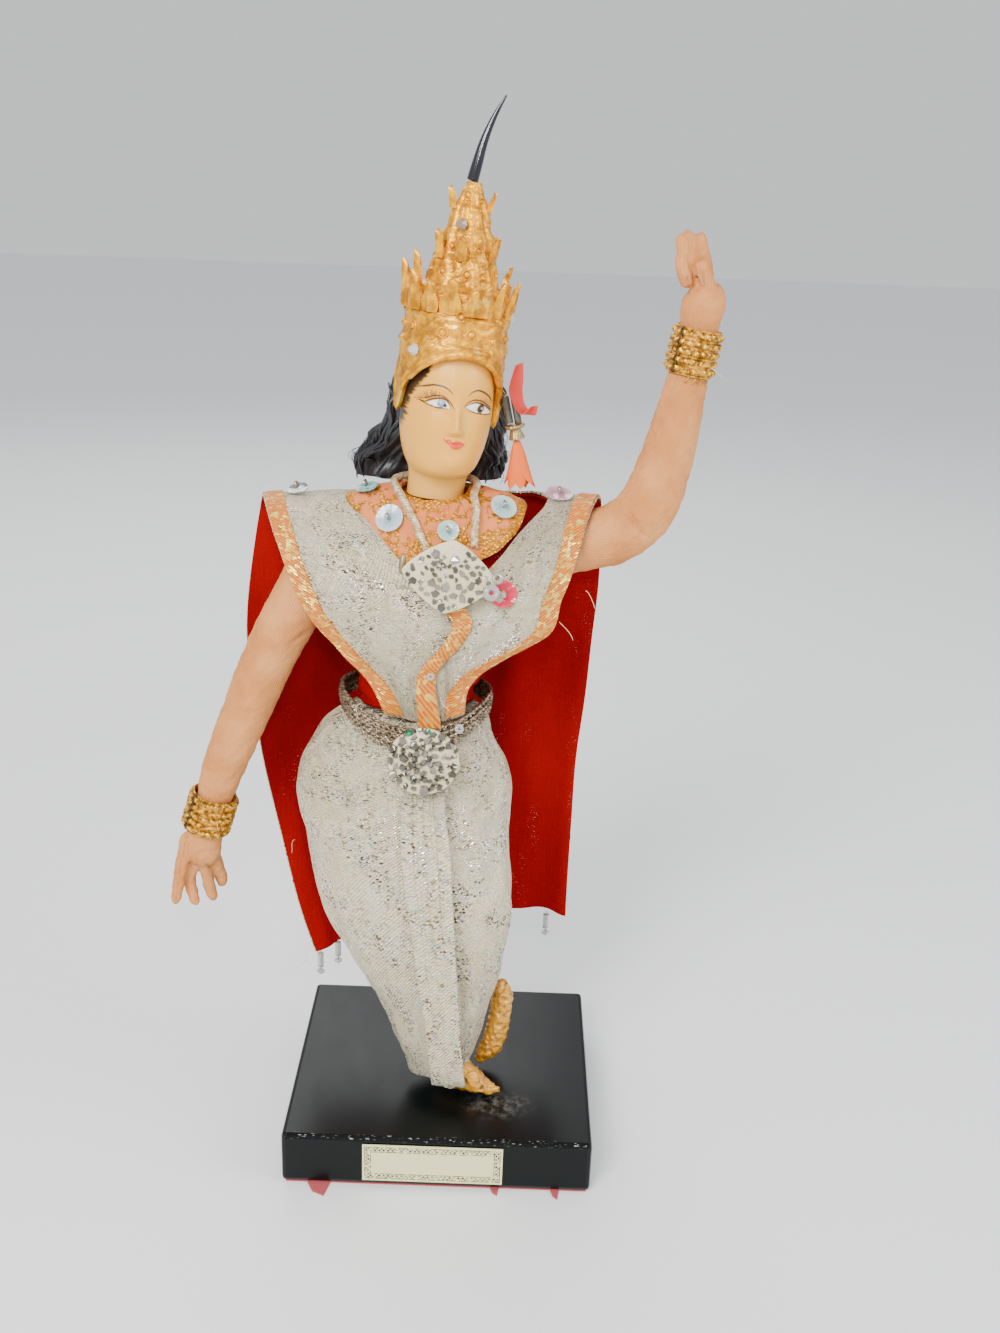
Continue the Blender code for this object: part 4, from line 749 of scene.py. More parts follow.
def shawl_folded(u, v, lift):
    """The shawl raised by a lift in mm, with the folds that all of its layers share."""
    side = np.where(u < 0, -1.0, 1.0)
    near = np.maximum(np.abs(u) - 0.04, 0.001) * side
    far = np.minimum(np.abs(u) + 0.04, 1.0) * side
    across = shawl_bare(far, v) - shawl_bare(near, v)
    along = shawl_bare(u, np.minimum(v + 0.25, LAST_ROW)) - shawl_bare(u, np.maximum(v - 0.25, 0))
    normal = np.cross(across, along) * side[:, None]
    normal /= np.maximum(np.linalg.norm(normal, axis=1, keepdims=True), 1e-9)
    place = shawl_bare(u, v)
    chest = np.clip((7.2 - v) / 1.2, 0, 1)
    cape = np.clip((v - 9.5) / 2.0, 0, 1)
    fold = ridges(place, CHEST_FOLDS) * chest * 0.75
    fold += wobble(place, 8, 21) * 0.22 * (1 - cape)
    hang = np.cos(23 * u + 1.6 + 0.22 * v) * 0.5 + np.cos(9 * u - 0.7) * 0.9
    fold += cape * (hang * np.clip((v - 10) / 6, 0, 1) + wobble(place * (1, 1, 0.35), 11, 22) * 0.35)
    return place + normal * (lift + fold)[:, None]


def join(name, parts):
    """Makes several pieces one."""
    clear()
    for part in parts:
        part.select_set(True)
    bpy.context.view_layer.objects.active = parts[0]
    bpy.ops.object.join()
    made = bpy.context.object
    made.name = made.data.name = name
    return made


def shawl_cloth(name, lift, thickness, columns, rows):
    """One whole layer of the shawl: a half to each side, sewn together behind the neck."""
    halves = []
    for side in (-1, 1):
        def surface(u, v):
            across = np.clip(1 - u, 0.0001, 1) * side
            return shawl_folded(across, v * LAST_ROW, lift)

        halves.append(lay(name, columns, rows, surface, (-HALF_WIDTH * side, SHAWL_LENGTH)))
    made = join(name, halves)
    edit(made, lambda: weld(0.00006), face_out)
    finish(made, "SOLIDIFY", thickness=thickness / 1000, offset=1)
    return smooth(made, 60)


lining = shawl_cloth("cotton_lining", 0.0, 0.4, 40, 140)
dress(lining, red_cotton, "red_cotton", "shawl_lining")
cape = shawl_cloth("brocade_shawl", 0.7, 0.5, 54, 200)
dress(cape, brocade, "silver_brocade", "shawl_brocade")


def thin(name, columns, rows, surface, size, thickness, offset=0, paint=None):
    """A thin sheet: a grid that is given a thickness in millimetres."""
    made = lay(name, columns, rows, surface, size, paint)
    edit(made, weld, face_out)
    return smooth(finish(made, "SOLIDIFY", thickness=thickness / 1000, offset=offset), 60)


def shawl_ribbon(name, edge, length):
    """A ribbon sewn flat to the shawl: edge gives its (u, v) on the cloth."""
    def surface(u, v):
        return shawl_folded(*edge(u, v), 1.5 + 0.12 * np.sin(40 * v) * u * (1 - u) * 4)

    return thin(name, 12, int(1.6 * length), surface, (RIBBON_WIDTH, length), 0.5)


def side_edge(side):
    def edge(u, v):
        row = 0.1 + v * (LAST_ROW - 0.12)
        table = flow(SHAWL_TABLE, row)
        outer, inner = (table[:, 0:3], table[:, 3:6]) if side < 0 else (table[:, 9:12], table[:, 6:9])
        span = np.linalg.norm(inner - outer, axis=1)
        share = np.minimum((RIBBON_EDGE + RIBBON_WIDTH * u) / span, 0.9)
        return side * (1 - share), row
    return edge


def hem_edge(u, v):
    table = flow(SHAWL_TABLE, np.array([LAST_ROW - 1, LAST_ROW]))
    fall = np.linalg.norm(table[1, 3:6] - table[0, 3:6])
    across = (v * 2 - 1) * 0.86
    across = np.where(np.abs(across) < 0.0005, 0.0005, across)
    return across, LAST_ROW - (RIBBON_EDGE + RIBBON_WIDTH * u) / fall


for name, edge, length in (
    ("shawl_trim_left", side_edge(-1), SHAWL_LENGTH),
    ("shawl_trim_right", side_edge(1), SHAWL_LENGTH),
    ("shawl_trim_hem", hem_edge, 72),
):
    trim = shawl_ribbon(name.replace("trim", "ribbon"), edge, length)
    dress(trim, ribbon, "gold_ribbon", name)

STRIP_ROWS = [
    (-4.7, -21.6, 131.4),
    (-5.9, -22.2, 143.6),
    (-3.9, -23.3, 149),
    (0.3, -24.7, 154.4),
    (3, -25.4, 160.4),
    (0.8, -25.2, 164.6),
]


def strip_surface(u, v):
    place = flow(STRIP_ROWS, v * (len(STRIP_ROWS) - 1))
    place[:, 0] += (u - 0.5) * (5.6 - 1.6 * np.sin(math.pi * v))
    place[:, 1] += 0.6 * (2 * u - 1) ** 2 + 0.12 * np.sin(30 * v)
    return place


strip = thin("front_ribbon", 14, 60, strip_surface, (RIBBON_WIDTH, 38), 0.5)
dress(strip, ribbon, "gold_ribbon", "front_strip")
pearl = ball("front_pearl_glass", (0, 0, 0), 1.0, (1, 1, 0.8), 0.3)
dress(sit(pearl, (-4.6, -24.0, 146.2), (0.1, -1, 0.1)), glass, "grey_glass", "front_pearl")


# Belt and buckle
# A flat braid of tarnished metal thread is wound three times round the waist. The buckle is
# a round cream plate, its face covered with smoky glass chips and two chips of green foil.
tarnish = Coat("tarnished_braid")
spot = tarnish.place()
dull = tarnish.noise(spot, 900, 4, 0.65)
tone = tarnish.mix(tarnish.step(dull, 0.35, 0.65), (0.055, 0.035, 0.02), (0.36, 0.27, 0.17))
shine = tarnish.step(tarnish.noise(spot, 1900, 2), 0.60, 0.70)
tarnish.vary(base_color=tarnish.mix(shine, tone, (0.80, 0.74, 0.62)))
tarnish.vary(metallic=0.75, roughness=0.42 - shine * 0.2)


def strand(name, path, radius, sides=6, twist=0, strands=1, closed=False, taper=1.0):
    """A cord of one or more strands twisted round a path, in mm, as one mesh of tubes."""
    path = np.asarray(path, float)
    count = len(path)
    run = np.gradient(path, axis=0)
    if closed:
        run = np.roll(path, -1, axis=0) - np.roll(path, 1, axis=0)
    run = unit(run)
    side = unit(np.cross(run, (0.05, -1.0, 0.12)))
    up = np.cross(side, run)
    curve = bpy.data.curves.new(name, "CURVE")
    curve.dimensions = "3D"
    curve.bevel_depth = 0.001
    curve.bevel_resolution = max(0, sides // 2 - 2)
    curve.use_fill_caps = not closed
    orbit = radius * np.broadcast_to(taper, count)[:, None] if strands > 1 else 0
    fine = radius * (0.62 if strands > 1 else 1)
    for k in range(strands):
        turn = FULL_TURN * (k / strands + twist * np.arange(count) / count)
        place = path + orbit * 0.5 * (side * np.cos(turn)[:, None] + up * np.sin(turn)[:, None])
        line = curve.splines.new("POLY")
        line.points.add(count - 1)
        flat = np.column_stack((place / 1000, np.ones(count)))
        line.points.foreach_set("co", flat.ravel())
        line.points.foreach_set("radius", np.full(count, fine) * taper)
        line.use_cyclic_u = closed
    made = bpy.data.objects.new(name, curve)
    bpy.context.scene.collection.objects.link(made)
    pick(made)
    bpy.ops.object.convert(target="MESH")
    made = bpy.context.object
    made.name = made.data.name = name
    edit(made, weld, face_out)
    return smooth(made)


def waist(turn, out, up):
    """A place on the belt's path: out from the cloth and up, both in mm."""
    front = np.maximum(0, -np.sin(turn))
    middle = 134.2 - 6.0 * front**2 - 0.6 * np.cos(turn)
    spread = 1.8 * front - 0.22 * up
    x = -9.3 + (17.9 + 0.7 + out) * np.cos(turn)
    y = -5.6 + (13.6 + 0.7 + spread + out) * np.sin(turn)
    return np.column_stack((x, y, middle + up))


turns = np.linspace(0, FULL_TURN, 181)[:-1]
belt_parts = []
for k, (out, up) in enumerate(((0.75, -2.1), (1.0, -0.75), (1.05, 0.7), (0.8, 2.1))):
    for phase in range(3):
        weave = turns * 26 + FULL_TURN * phase / 3
        path = waist(turns, out + 0.42 * np.sin(2 * weave), up + 0.48 * np.sin(weave))
        belt_parts.append(strand(f"belt_{k}_{phase}", path, 0.36, 6, closed=True))
belt = join("braided_belt", belt_parts)
dress(belt, tarnish, "dark_braid", "belt")

cream = Coat("cream_plate", roughness=0.35)
mark = cream.noise(cream.place(), 1100, 4, 0.6)
cream.vary(base_color=cream.mix(mark, (0.50, 0.40, 0.20), (0.84, 0.76, 0.50)))
cream.relief(mark, 0.0001, 0.5)
smoky = Coat("smoky_chips", roughness=0.08, coat_weight=0.8, coat_roughness=0.05)
which = smoky.painted("chip")
tone = smoky.mix(which, (0.012, 0.011, 0.010), (0.28, 0.26, 0.22))
cloud = smoky.noise(smoky.place(), 1300, 3)
smoky.vary(base_color=smoky.mix(cloud * 0.3, tone, (0.34, 0.30, 0.20)))
green = Coat("green_foil", roughness=0.2, metallic=0.6)
green.grain(1500, (0.0, 0.10, 0.05), (0.02, 0.42, 0.22))


def chip(place, size, spin, flat, seed):
    """One broken chip: a five-sided block, uneven and narrower on top, laid on the plate."""
    clear()
    bpy.ops.mesh.primitive_cylinder_add(vertices=5, radius=size / 1000, depth=0.0011)
    made = bpy.context.object
    draw = np.random.default_rng(seed)
    points = corners(made)
    top = points[:, 2] > 0
    points[:, :2] *= np.where(top, 0.62, 1.0)[:, None]
    points[:, :2] *= (1, flat)
    points += draw.uniform(-0.16, 0.16, points.shape) * size
    turned = np.array(Matrix.Rotation(spin, 3, "Z") @ Matrix.Rotation(draw.uniform(-0.3, 0.3), 3, "X"))
    move(made, points @ turned.T + place)
    return made


def mosaic(name, inside, reach, count, seed, surface):
    """Chips scattered over a plate: inside(x, y) tells where, surface(x, y) how high."""
    draw = np.random.default_rng(seed)
    placed, parts = [], []
    for attempt in range(5200):
        x, y = draw.uniform(-1, 1, 2) * reach
        size = draw.uniform(0.85, 1.75)
        if not inside(x, y) or any(math.hypot(x - a, y - b) < 0.66 * (size + s) for a, b, s in placed):
            continue
        placed.append((x, y, size))
        made = chip((x, y, surface(x, y)), size, draw.uniform(0, 7), draw.uniform(0.55, 0.95), attempt)
        store(made, chip=draw.uniform() ** 2.2)
        parts.append(made)
        if len(placed) == count:
            break
    return join(name, parts)


clear()
bpy.ops.mesh.primitive_cylinder_add(vertices=72, radius=0.009, depth=0.0026)
plate_body = bpy.context.object
plate_body.name = plate_body.data.name = "buckle_plate"
finish(plate_body, "BEVEL", width=0.0006, segments=4)
edit(plate_body, lambda: bpy.ops.mesh.subdivide(number_cuts=1))
points = corners(plate_body)
points *= (1, 0.93, 1)
points[:, 2] += np.where(points[:, 2] > 0, 0.5 * (1 - (points[:, 0] ** 2 + points[:, 1] ** 2) / 81), 0)
points += np.column_stack([wobble(points, 5, k) * 0.10 for k in (31, 32, 33)])
move(plate_body, points)
BUCKLE_AT = (-5.8, -27.4, 124.7)
BUCKLE_FACE = (0.03, -1, 0.42)
sit(plate_body, BUCKLE_AT, BUCKLE_FACE)
dress(smooth(plate_body, 50), cream, "chip_plate", "buckle")
chips = mosaic(
    "buckle_chips", lambda x, y: (x / 8.6) ** 2 + (y / 8.0) ** 2 < 1, 8.8, 120, 41,
    lambda x, y: 1.65 + 0.3 * (1 - (x * x + y * y) / 81),
)
dress(sit(chips, BUCKLE_AT, BUCKLE_FACE), smoky, "grey_glass")
foils = join("buckle_green_foil", [
    chip((-4.2, 6.6, 1.7), 1.5, 0.5, 0.6, 7), chip((0.6, 7.6, 1.6), 1.4, 2.4, 0.4, 8),
])
dress(sit(foils, BUCKLE_AT, BUCKLE_FACE), green, "chip_plate")
stray = ball("belt_bead_glass", (0, 0, 0), 1.3, (1, 1, 0.8), 0.3)
dress(sit(stray, (2.8, -21.5, 131.4), (0.5, -0.8, 0.4)), glass, "grey_glass", "belt_bead")


# Collar, sequins and necklace
# The collar is salmon felt with gold glitter thread and a gold edge, glued over the chest.
# Cupped sequins are sewn on, each with a seed bead. The necklace is twisted of silver and
# gold thread, and the pendant hangs from it.
orange_felt = Coat("orange_felt", specular_ior_level=0.3)
spot = orange_felt.place()
nap = orange_felt.noise(spot, 2600, 3)
shade = orange_felt.mix(orange_felt.noise(spot, 160, 3), (0.60, 0.135, 0.035), (0.86, 0.30, 0.11))
patches = orange_felt.step(orange_felt.noise(spot, 170, 4, 0.6), 0.44, 0.52)
lattice = orange_felt.cells(spot, 330, 0, "DISTANCE_TO_EDGE")
lattice = (1 - orange_felt.step(lattice, 0.07, 0.20)) * patches
gilded = lattice.math("MAXIMUM", orange_felt.painted("band") * orange_felt.step(nap, 0.30, 0.40))
specks = orange_felt.cells(spot, 1250)
sparks = 1 - orange_felt.step(specks, 0.14, 0.34)
gold_tone = orange_felt.mix(sparks, (0.52, 0.20, 0.006), (1.0, 0.68, 0.12))
orange_felt.vary(base_color=orange_felt.mix(gilded, shade, gold_tone))
orange_felt.vary(metallic=gilded * 0.6, roughness=0.88 - gilded * 0.5)
orange_felt.relief(nap * 0.4 + gilded * specks * 1.6, 0.0003, 0.8)
NECK_MIDDLE = (-5.2, -4.8, 1.1)


def on_collar(turn, share, lift):
    """The collar round the neck; share is 0 at the neck and 1 at its scalloped edge."""
    turn, share, lift = (np.asarray(k, float) for k in np.broadcast_arrays(turn, share, lift))
    across, along = np.cos(turn), np.sin(turn)
    front = np.maximum(0, -along)
    lobes = 0.9 * np.abs(np.sin(3 * turn + 0.3))
    inner = np.column_stack((8.4 * across, 7.7 * along, 188.0 + 0.3 * along - 0.9 * front))
    reach_x = np.where(across > 0, 22.0 * (1 + 0.3 * front * across), 22.5) - lobes
    reach_y = np.where(along < 0, 13.6, 9.5) + 0.4 * lobes
    drop = 185.2 - (14.0 + 0.9 * lobes) * front**1.5 - 3.2 * np.maximum(0, along) ** 2
    outer = np.column_stack((reach_x * across, reach_y * along, drop))
    place = inner + (outer - inner) * share[:, None]
    belly = np.sin(math.pi * share)
    place[:, 2] += 0.9 * belly
    place[:, 1] -= 1.1 * belly * front
    slope = unit(np.column_stack((0.35 * across, 0.8 * along * front, 1 - 0.55 * front)))
    return place + NECK_MIDDLE + slope * lift[:, None]


def collar_cloth(u, v):
    """The felt laid round the neck, rippled a little."""
    place = on_collar(FULL_TURN * u, v, 0.1)
    ripple = wobble(place, 6, 51) * 0.16 + wobble(place, 2.4, 52) * 0.06
    return place + (0, -0.5, 0.85) * ripple[:, None]


def gold_edge(u, v):
    """How gold the collar is: its outer rim and, in front, its neck edge."""
    front = np.clip(-np.sin(FULL_TURN * u) * 3, 0, 1)
    ragged = 0.03 * np.sin(150 * u) + 0.02 * np.sin(391 * u)
    rim = np.clip((v + ragged - 0.84) / 0.05, 0, 1)
    return np.maximum(rim, front * np.clip((0.14 + ragged - v) / 0.05, 0, 1))


collar = thin("felt_collar", 210, 34, collar_cloth, (118, 19), 0.9, 1, {"band": gold_edge})
dress(collar, orange_felt, "orange_felt", "collar")


def sequin_coat(name, colour, rim):
    """Pearly plastic: its colour turns paler to the rim, with fine scratches."""
    made = Coat(name, roughness=0.22, coat_weight=0.7, coat_roughness=0.12)
    scratch = made.noise(made.place(), 900, 4, 0.7)
    made.vary(base_color=made.mix(made.painted("rim") * 0.8 + scratch * 0.2, colour, rim))
    made.relief(scratch, 0.00006, 0.4)
    return made


pale = sequin_coat("pale_sequin", (0.27, 0.47, 0.45), (0.50, 0.66, 0.62))
blue = sequin_coat("blue_sequin", (0.30, 0.42, 0.50), (0.55, 0.66, 0.72))
teal = sequin_coat("green_sequin", (0.05, 0.24, 0.20), (0.14, 0.40, 0.34))
mauve = sequin_coat("mauve_sequin", (0.36, 0.15, 0.20), (0.58, 0.34, 0.40))
red = sequin_coat("red_sequin", (0.50, 0.0, 0.025), (0.78, 0.02, 0.07))
steel = Coat("cut_steel_bead", roughness=0.16, metallic=0.9)
steel.grain(900, (0.10, 0.09, 0.08), (0.72, 0.72, 0.70))


def sequin(name, radius, seed):
    """A thin cup with a small hole, faceted towards its rim and dented a little."""
    def surface(u, v):
        turn = FULL_TURN * u
        out = radius * (0.09 + 0.91 * v)
        rise = 0.62 * np.clip(v - 0.35, 0, 1) ** 1.4 * (1 + 0.10 * np.cos(12 * turn))
        return np.column_stack((out * np.cos(turn), out * np.sin(turn), rise))

    made = lay(name, 72, 10, surface, (20, 4), {"rim": lambda u, v: np.clip(v - 0.3, 0, 1) / 0.7})
    edit(made, weld, face_out)
    points = corners(made)
    points[:, 2] += wobble(points, 4, seed) * 0.14
    move(made, points)
    finish(made, "SOLIDIFY", thickness=0.00022, offset=1)
    return smooth(made, 50)


def collar_spot(degrees, share):
    """A place just above the collar, by its direction and its share outwards."""
    return on_collar([math.radians(degrees)], share, 1.8)[0]


for k, (place, way, share, coat) in enumerate((
    (collar_spot(-129, 0.55), (-0.25, -0.80, 0.55), 1.0, blue),
    (collar_spot(-26, 0.65), (0.30, -0.60, 0.75), 0.95, pale),
    (collar_spot(-76, 0.50), (0.0, -0.85, 0.5), 0.75, pale),
    (collar_spot(-172, 0.60), (-0.3, -0.2, 1.0), 0.8, teal),
    ((-40, -3, 187.6), (-0.2, -0.3, 1), 0.75, steel),
    ((25.8, -6, 189.4), (0.1, -0.3, 1), 0.95, mauve),
    ((12.7, -23.1, 168.1), (0.2, -0.95, 0.25), 0.95, red),
), 1):
    way = Vector(way).normalized()
    disc = sequin(f"sewn_sequin_{k}", 3.5 * share, 60 + k)
    dress(sit(disc, place, way, 0.4 * k), coat, "pale_sequin", f"sequin_{k}")
    bead = ball(f"seed_bead_{k}", (0, 0, 0), 1.0, (1, 1, 0.9), 0.3)
    above = Vector(place) + way * 1.35
    metal = glass if k == 7 else steel
    dress(sit(bead, above, (0.9, -0.2, 0.3)), metal, "grey_glass", f"sequin_{k}_bead")

silver_cord = Coat("silver_gold_cord", roughness=0.42)
fibre = silver_cord.noise(silver_cord.place(), 2400, 3)
wrap = silver_cord.step(silver_cord.noise(silver_cord.place(), 800, 3), 0.42, 0.60)
tone = silver_cord.mix(wrap, (0.50, 0.34, 0.14), (0.76, 0.70, 0.56))
silver_cord.vary(base_color=silver_cord.mix(silver_cord.step(fibre, 0.62, 0.72), tone, (1, 0.95, 0.8)))
silver_cord.vary(metallic=0.45)
silver_cord.relief(fibre, 0.00008, 0.7)
NECKLACE_ROWS = [
    (-88, 0.86), (-98, 0.6), (-111, 0.34), (-138, 0.12), (-184, 0.08), (-228, 0.08),
    (-270, 0.08), (-312, 0.08), (-356, 0.08), (-392, 0.14), (-406, 0.36), (-417, 0.6),
    (-423, 0.84),
]
laid = flow(NECKLACE_ROWS, np.linspace(0, len(NECKLACE_ROWS) - 1, 420))
path = on_collar(np.radians(laid[:, 0]), laid[:, 1], 2.25)
cord = strand("twisted_necklace", path, 0.92, 8, twist=34, strands=3)
dress(cord, silver_cord, "gold_braid", "necklace_cord")


# Pendant
# A cream lozenge plate covered with smoky glass chips, a flat peg of bronze at one corner
# and clear ring beads sewn at the other.
def lozenge(x, y, half_x, half_y):
    return (np.abs(x / half_x) ** 1.3 + np.abs(y / half_y) ** 1.3) ** (1 / 1.3)


PENDANT_AT = (-0.5, -24.2, 172.4)
PENDANT_FACE = (0.02, -0.97, 0.24)


def pendant_face(u, v):
    """The diamond plate, its rim rounded and its face raised to the middle."""
    turn = FULL_TURN * u
    out = 1 / lozenge(np.cos(turn), np.sin(turn), 11.1, 8.6)
    side = flow([(0, 0), (0.93, 0), (1, 0.3), (1, 1.3), (0.95, 1.8), (0, 2.2)], v * 5)
    reach = out * side[:, 0]
    return np.column_stack((reach * np.cos(turn), reach * np.sin(turn), side[:, 1]))


pendant = ringed("pendant_plate", 120, 40, pendant_face)
spin = math.radians(-7)


def hang_pendant(piece):
    """Lays a piece that was made flat, with +Y up, on the chest as the pendant lies."""
    face = Vector(PENDANT_FACE).normalized()
    side = face.cross(Vector((0, 0, 1))).normalized() * -1
    turned = Matrix((side, face.cross(side), face)).transposed() @ Matrix.Rotation(spin, 3, "Z")
    move(piece, corners(piece) @ np.array(turned).T + PENDANT_AT)
    return piece


dress(hang_pendant(pendant), cream, "chip_plate", "pendant")
stones = mosaic(
    "pendant_chips", lambda x, y: lozenge(x, y, 10.6, 8.0) < 1 and not (y > 4.6 and abs(x) < 3.2),
    10.8, 130, 43, lambda x, y: 2.15 - 0.5 * lozenge(x, y, 11, 8.5) ** 2,
)
dress(hang_pendant(stones), smoky, "grey_glass")
bronze = Coat("bronze_peg", metallic=0.7, roughness=0.4)
bronze.grain(500, (0.18, 0.13, 0.06), (0.42, 0.34, 0.16))
peg = ball("pendant_peg", (-11.6, 1.4, 0.9), 1.0, (0.85, 2.6, 0.7))
dress(hang_pendant(peg), bronze, "chip_plate")
rings = []
for place, radius, lean in (((10.6, -2.2, 2.9), 2.1, 0.2), ((11.6, 1.4, 2.2), 1.5, -0.5)):
    ring = ball("ring_bead", (0, 0, 0), radius, (1, 1, 1.25), 0.55)
    rings.append(sit(ring, place, (lean, 0.1, 1)))
rings = join("pendant_ring_beads", rings)
dress(hang_pendant(rings), glass, "grey_glass", "pendant_beads")


# Head
# A moulded head and neck painted satin cream. Brows, eyes, lashes and lips are painted on by
# hand, and black paint brings the hair's edge round the forehead. Its colour also holds
# painted shade beside and under the nose, down the face's right side and under the chin, and
# painted highlights as white dots in the eyes and pale dots on the lips.
HEAD_PLACE = (-3.2, -6, 207)
HEAD = np.array(Matrix.Rotation(math.radians(6), 3, "Y") @ Matrix.Rotation(math.radians(14), 3, "Z"))
HEAD_ROWS = [
    (-19.4, 7.2, -5, 6.6), (-16, 7.2, -4.8, 6.6), (-13.2, 7.4, -6.4, 6.6),
    (-11.6, 7.9, -10.6, 7.2), (-9.6, 9, -12.4, 8.6), (-6, 10.2, -12.9, 10.6),
    (-2, 10.9, -13, 12.4), (2, 11.2, -12.9, 13.4), (6, 11.1, -12.7, 14),
    (12, 10.5, -12.2, 14), (18, 9.2, -10.2, 12.6), (22.5, 6.6, -7, 9),
    (25, 3, -3, 5),
]


def on_head(x, y, z):
    """Head places, with the face towards -Y, turned and tilted as the head sits."""
    return np.column_stack(np.broadcast_arrays(x, y, z)) @ HEAD.T + HEAD_PLACE


def hill(x, z, x0, z0, wide, tall):
    """A smooth mound at (x0, z0), 1 at its top."""
    return np.exp(-(((x - x0) / wide) ** 2) - ((z - z0) / tall) ** 2)


def face_relief(x, z):
    """How far the nose, eyes, brows, cheeks, lips and chin stand out in mm."""
    nose = np.interp(z, (-1.5, -0.8, 0.0, 0.8, 3.0, 5.5, 9.0), (0, 0.9, 1.9, 2.0, 1.3, 0.7, 0.0))
    relief = nose * np.exp(-((x / np.interp(z, (-1, 0.4, 3, 6), (1.6, 1.4, 1.0, 1.3))) ** 2))
    for side in (-1, 1):
        relief += 0.55 * hill(x, z, 1.25 * side, -0.2, 0.7, 0.6)
        relief -= 0.70 * hill(x, z, 4.7 * side, 5.6, 2.7, 2.0)
        relief += 0.62 * hill(x, z, 4.7 * side, 5.8, 2.1, 1.1)
        relief += 0.30 * hill(x, z, 5.0 * side, 9.0, 3.2, 1.2)
        relief += 0.45 * hill(x, z, 5.6 * side, -0.8, 3.0, 3.0)
    relief += 0.60 * hill(x, z, -0.1, -2.6, 2.0, 0.55) + 0.65 * hill(x, z, 0.4, -3.8, 1.6, 0.6)
    relief -= 0.25 * hill(x, z, 0, -3.05, 2.4, 0.2)
    return relief + 0.9 * hill(x, z, 0.2, -7.8, 3.0, 1.9)


HEAD_HEIGHTS = [row[0] for row in HEAD_ROWS]


def head_surface(u, v):
    """The head and neck, with more of the grid spent on the face."""
    even = FULL_TURN * u
    turn = even + 0.6 * np.sin(even)
    height = HEAD_HEIGHTS[0] + (HEAD_HEIGHTS[-1] - HEAD_HEIGHTS[0]) * v
    z, half, front, back = flow(HEAD_ROWS, np.interp(height, HEAD_HEIGHTS, range(len(HEAD_ROWS)))).T
    lean = np.cos(turn)
    close = np.clip(np.minimum(v, 1 - v) / 0.006, 0, 1)
    x = half * np.sin(turn) * close
    y = np.where(lean > 0, back * lean, -front * lean - face_relief(x, z) * (lean < 0)) * close
    return on_head(x, y, z)


head = ringed("painted_head", 225, 245, head_surface)
local = (corners(head) - HEAD_PLACE) @ HEAD
brush_x, brush_z = local[:, 0], local[:, 2]
in_front = local[:, 1] < 0


def drawn(line, wide, soft=0.09):
    """How much paint a brush line leaves: its width in mm goes through the given steps."""
    line = flow(line, np.linspace(0, len(line) - 1, 26 * len(line)))
    thick = np.interp(np.linspace(0, 1, len(line)), np.linspace(0, 1, len(wide)), wide)
    low, high = line.min(0) - 0.9, line.max(0) + 0.9
    near = in_front & (brush_x > low[0]) & (brush_x < high[0])
    near &= (brush_z > low[1]) & (brush_z < high[1])
    away = np.hypot(brush_x[near][:, None] - line[:, 0], brush_z[near][:, None] - line[:, 1])
    mask = np.zeros(len(brush_x))
    mask[near] = np.clip(0.5 - (away - thick / 2).min(1) / soft, 0, 1)
    return mask


def filled(outline, soft=0.12):
    """How much paint covers each point when an outline is filled in."""
    outline = flow(outline + outline[:1], np.linspace(0, len(outline), 8 * len(outline)))
    inside = np.zeros(len(brush_x), bool)
    for (x0, z0), (x1, z1) in zip(outline, np.roll(outline, -1, axis=0)):
        spans = (z0 > brush_z) != (z1 > brush_z)
        crossing = x0 + (brush_z - z0) * (x1 - x0) / (z1 - z0 if z1 != z0 else 1e-9)
        inside ^= spans & (brush_x < crossing)
    return np.maximum(inside & in_front, drawn(list(map(tuple, outline)), (0.02,), soft))


def round_spot(x, z, radius, soft=0.12):
    """How much paint a round dab leaves."""
    return np.clip(0.5 - (np.hypot(brush_x - x, brush_z - z) - radius) / soft, 0, 1) * in_front


colour = np.tile((0.86, 0.40, 0.045), (len(brush_x), 1))


def paint(mask, tint, strength=1.0):
    """Lays one tint over the colours of the head."""
    colour[:] += (np.array(tint) - colour) * (mask * strength)[:, None]


# Painted shade: darker tints beside the nose bridge, under the nose, down the face's right side and
# under the chin.
paint(hill(brush_x, brush_z, 2.2, 2.2, 1.4, 2.6) * in_front, (0.62, 0.40, 0.14), 0.28)
paint(hill(brush_x, brush_z, 0.4, -1.25, 1.9, 0.5) * in_front, (0.50, 0.28, 0.08), 0.55)
paint(hill(brush_x, brush_z, 10.5, -2.0, 2.2, 8.0) * in_front, (0.60, 0.36, 0.12), 0.45)
paint(np.clip((-9.6 - brush_z) / 2.0, 0, 1), (0.66, 0.40, 0.11), 0.45)
paint(np.clip((brush_z - 9.8) / 4, 0, 1) * in_front, (0.95, 0.56, 0.13), 0.35)
streak = wobble(np.column_stack((brush_z * 1.6, brush_x * 0.35, brush_z * 0.4)), 1.1, 71) * 0.5
HAIR_BLACK = (0.006, 0.006, 0.008)
heights, edge = (-9, -2.5, 3.1, 6.3, 8.6, 10.6, 13.5), (-11.6, -11, -10.6, -10, -9.2, -8.2, -6.6)
hairline = np.interp(brush_z, heights, edge)
beyond = np.clip((hairline + streak * 0.5 - brush_x) / 0.55 + 0.5, 0, 1)
paint(beyond * (brush_z > -8), HAIR_BLACK)
paint(np.clip((brush_x - 10.9 - streak * 0.3) / 0.4, 0, 1) * (brush_z > -6), HAIR_BLACK)
BLACK = (0.012, 0.008, 0.008)
MAROON = (0.16, 0.025, 0.015)
WHITE = (0.93, 0.9, 0.78)

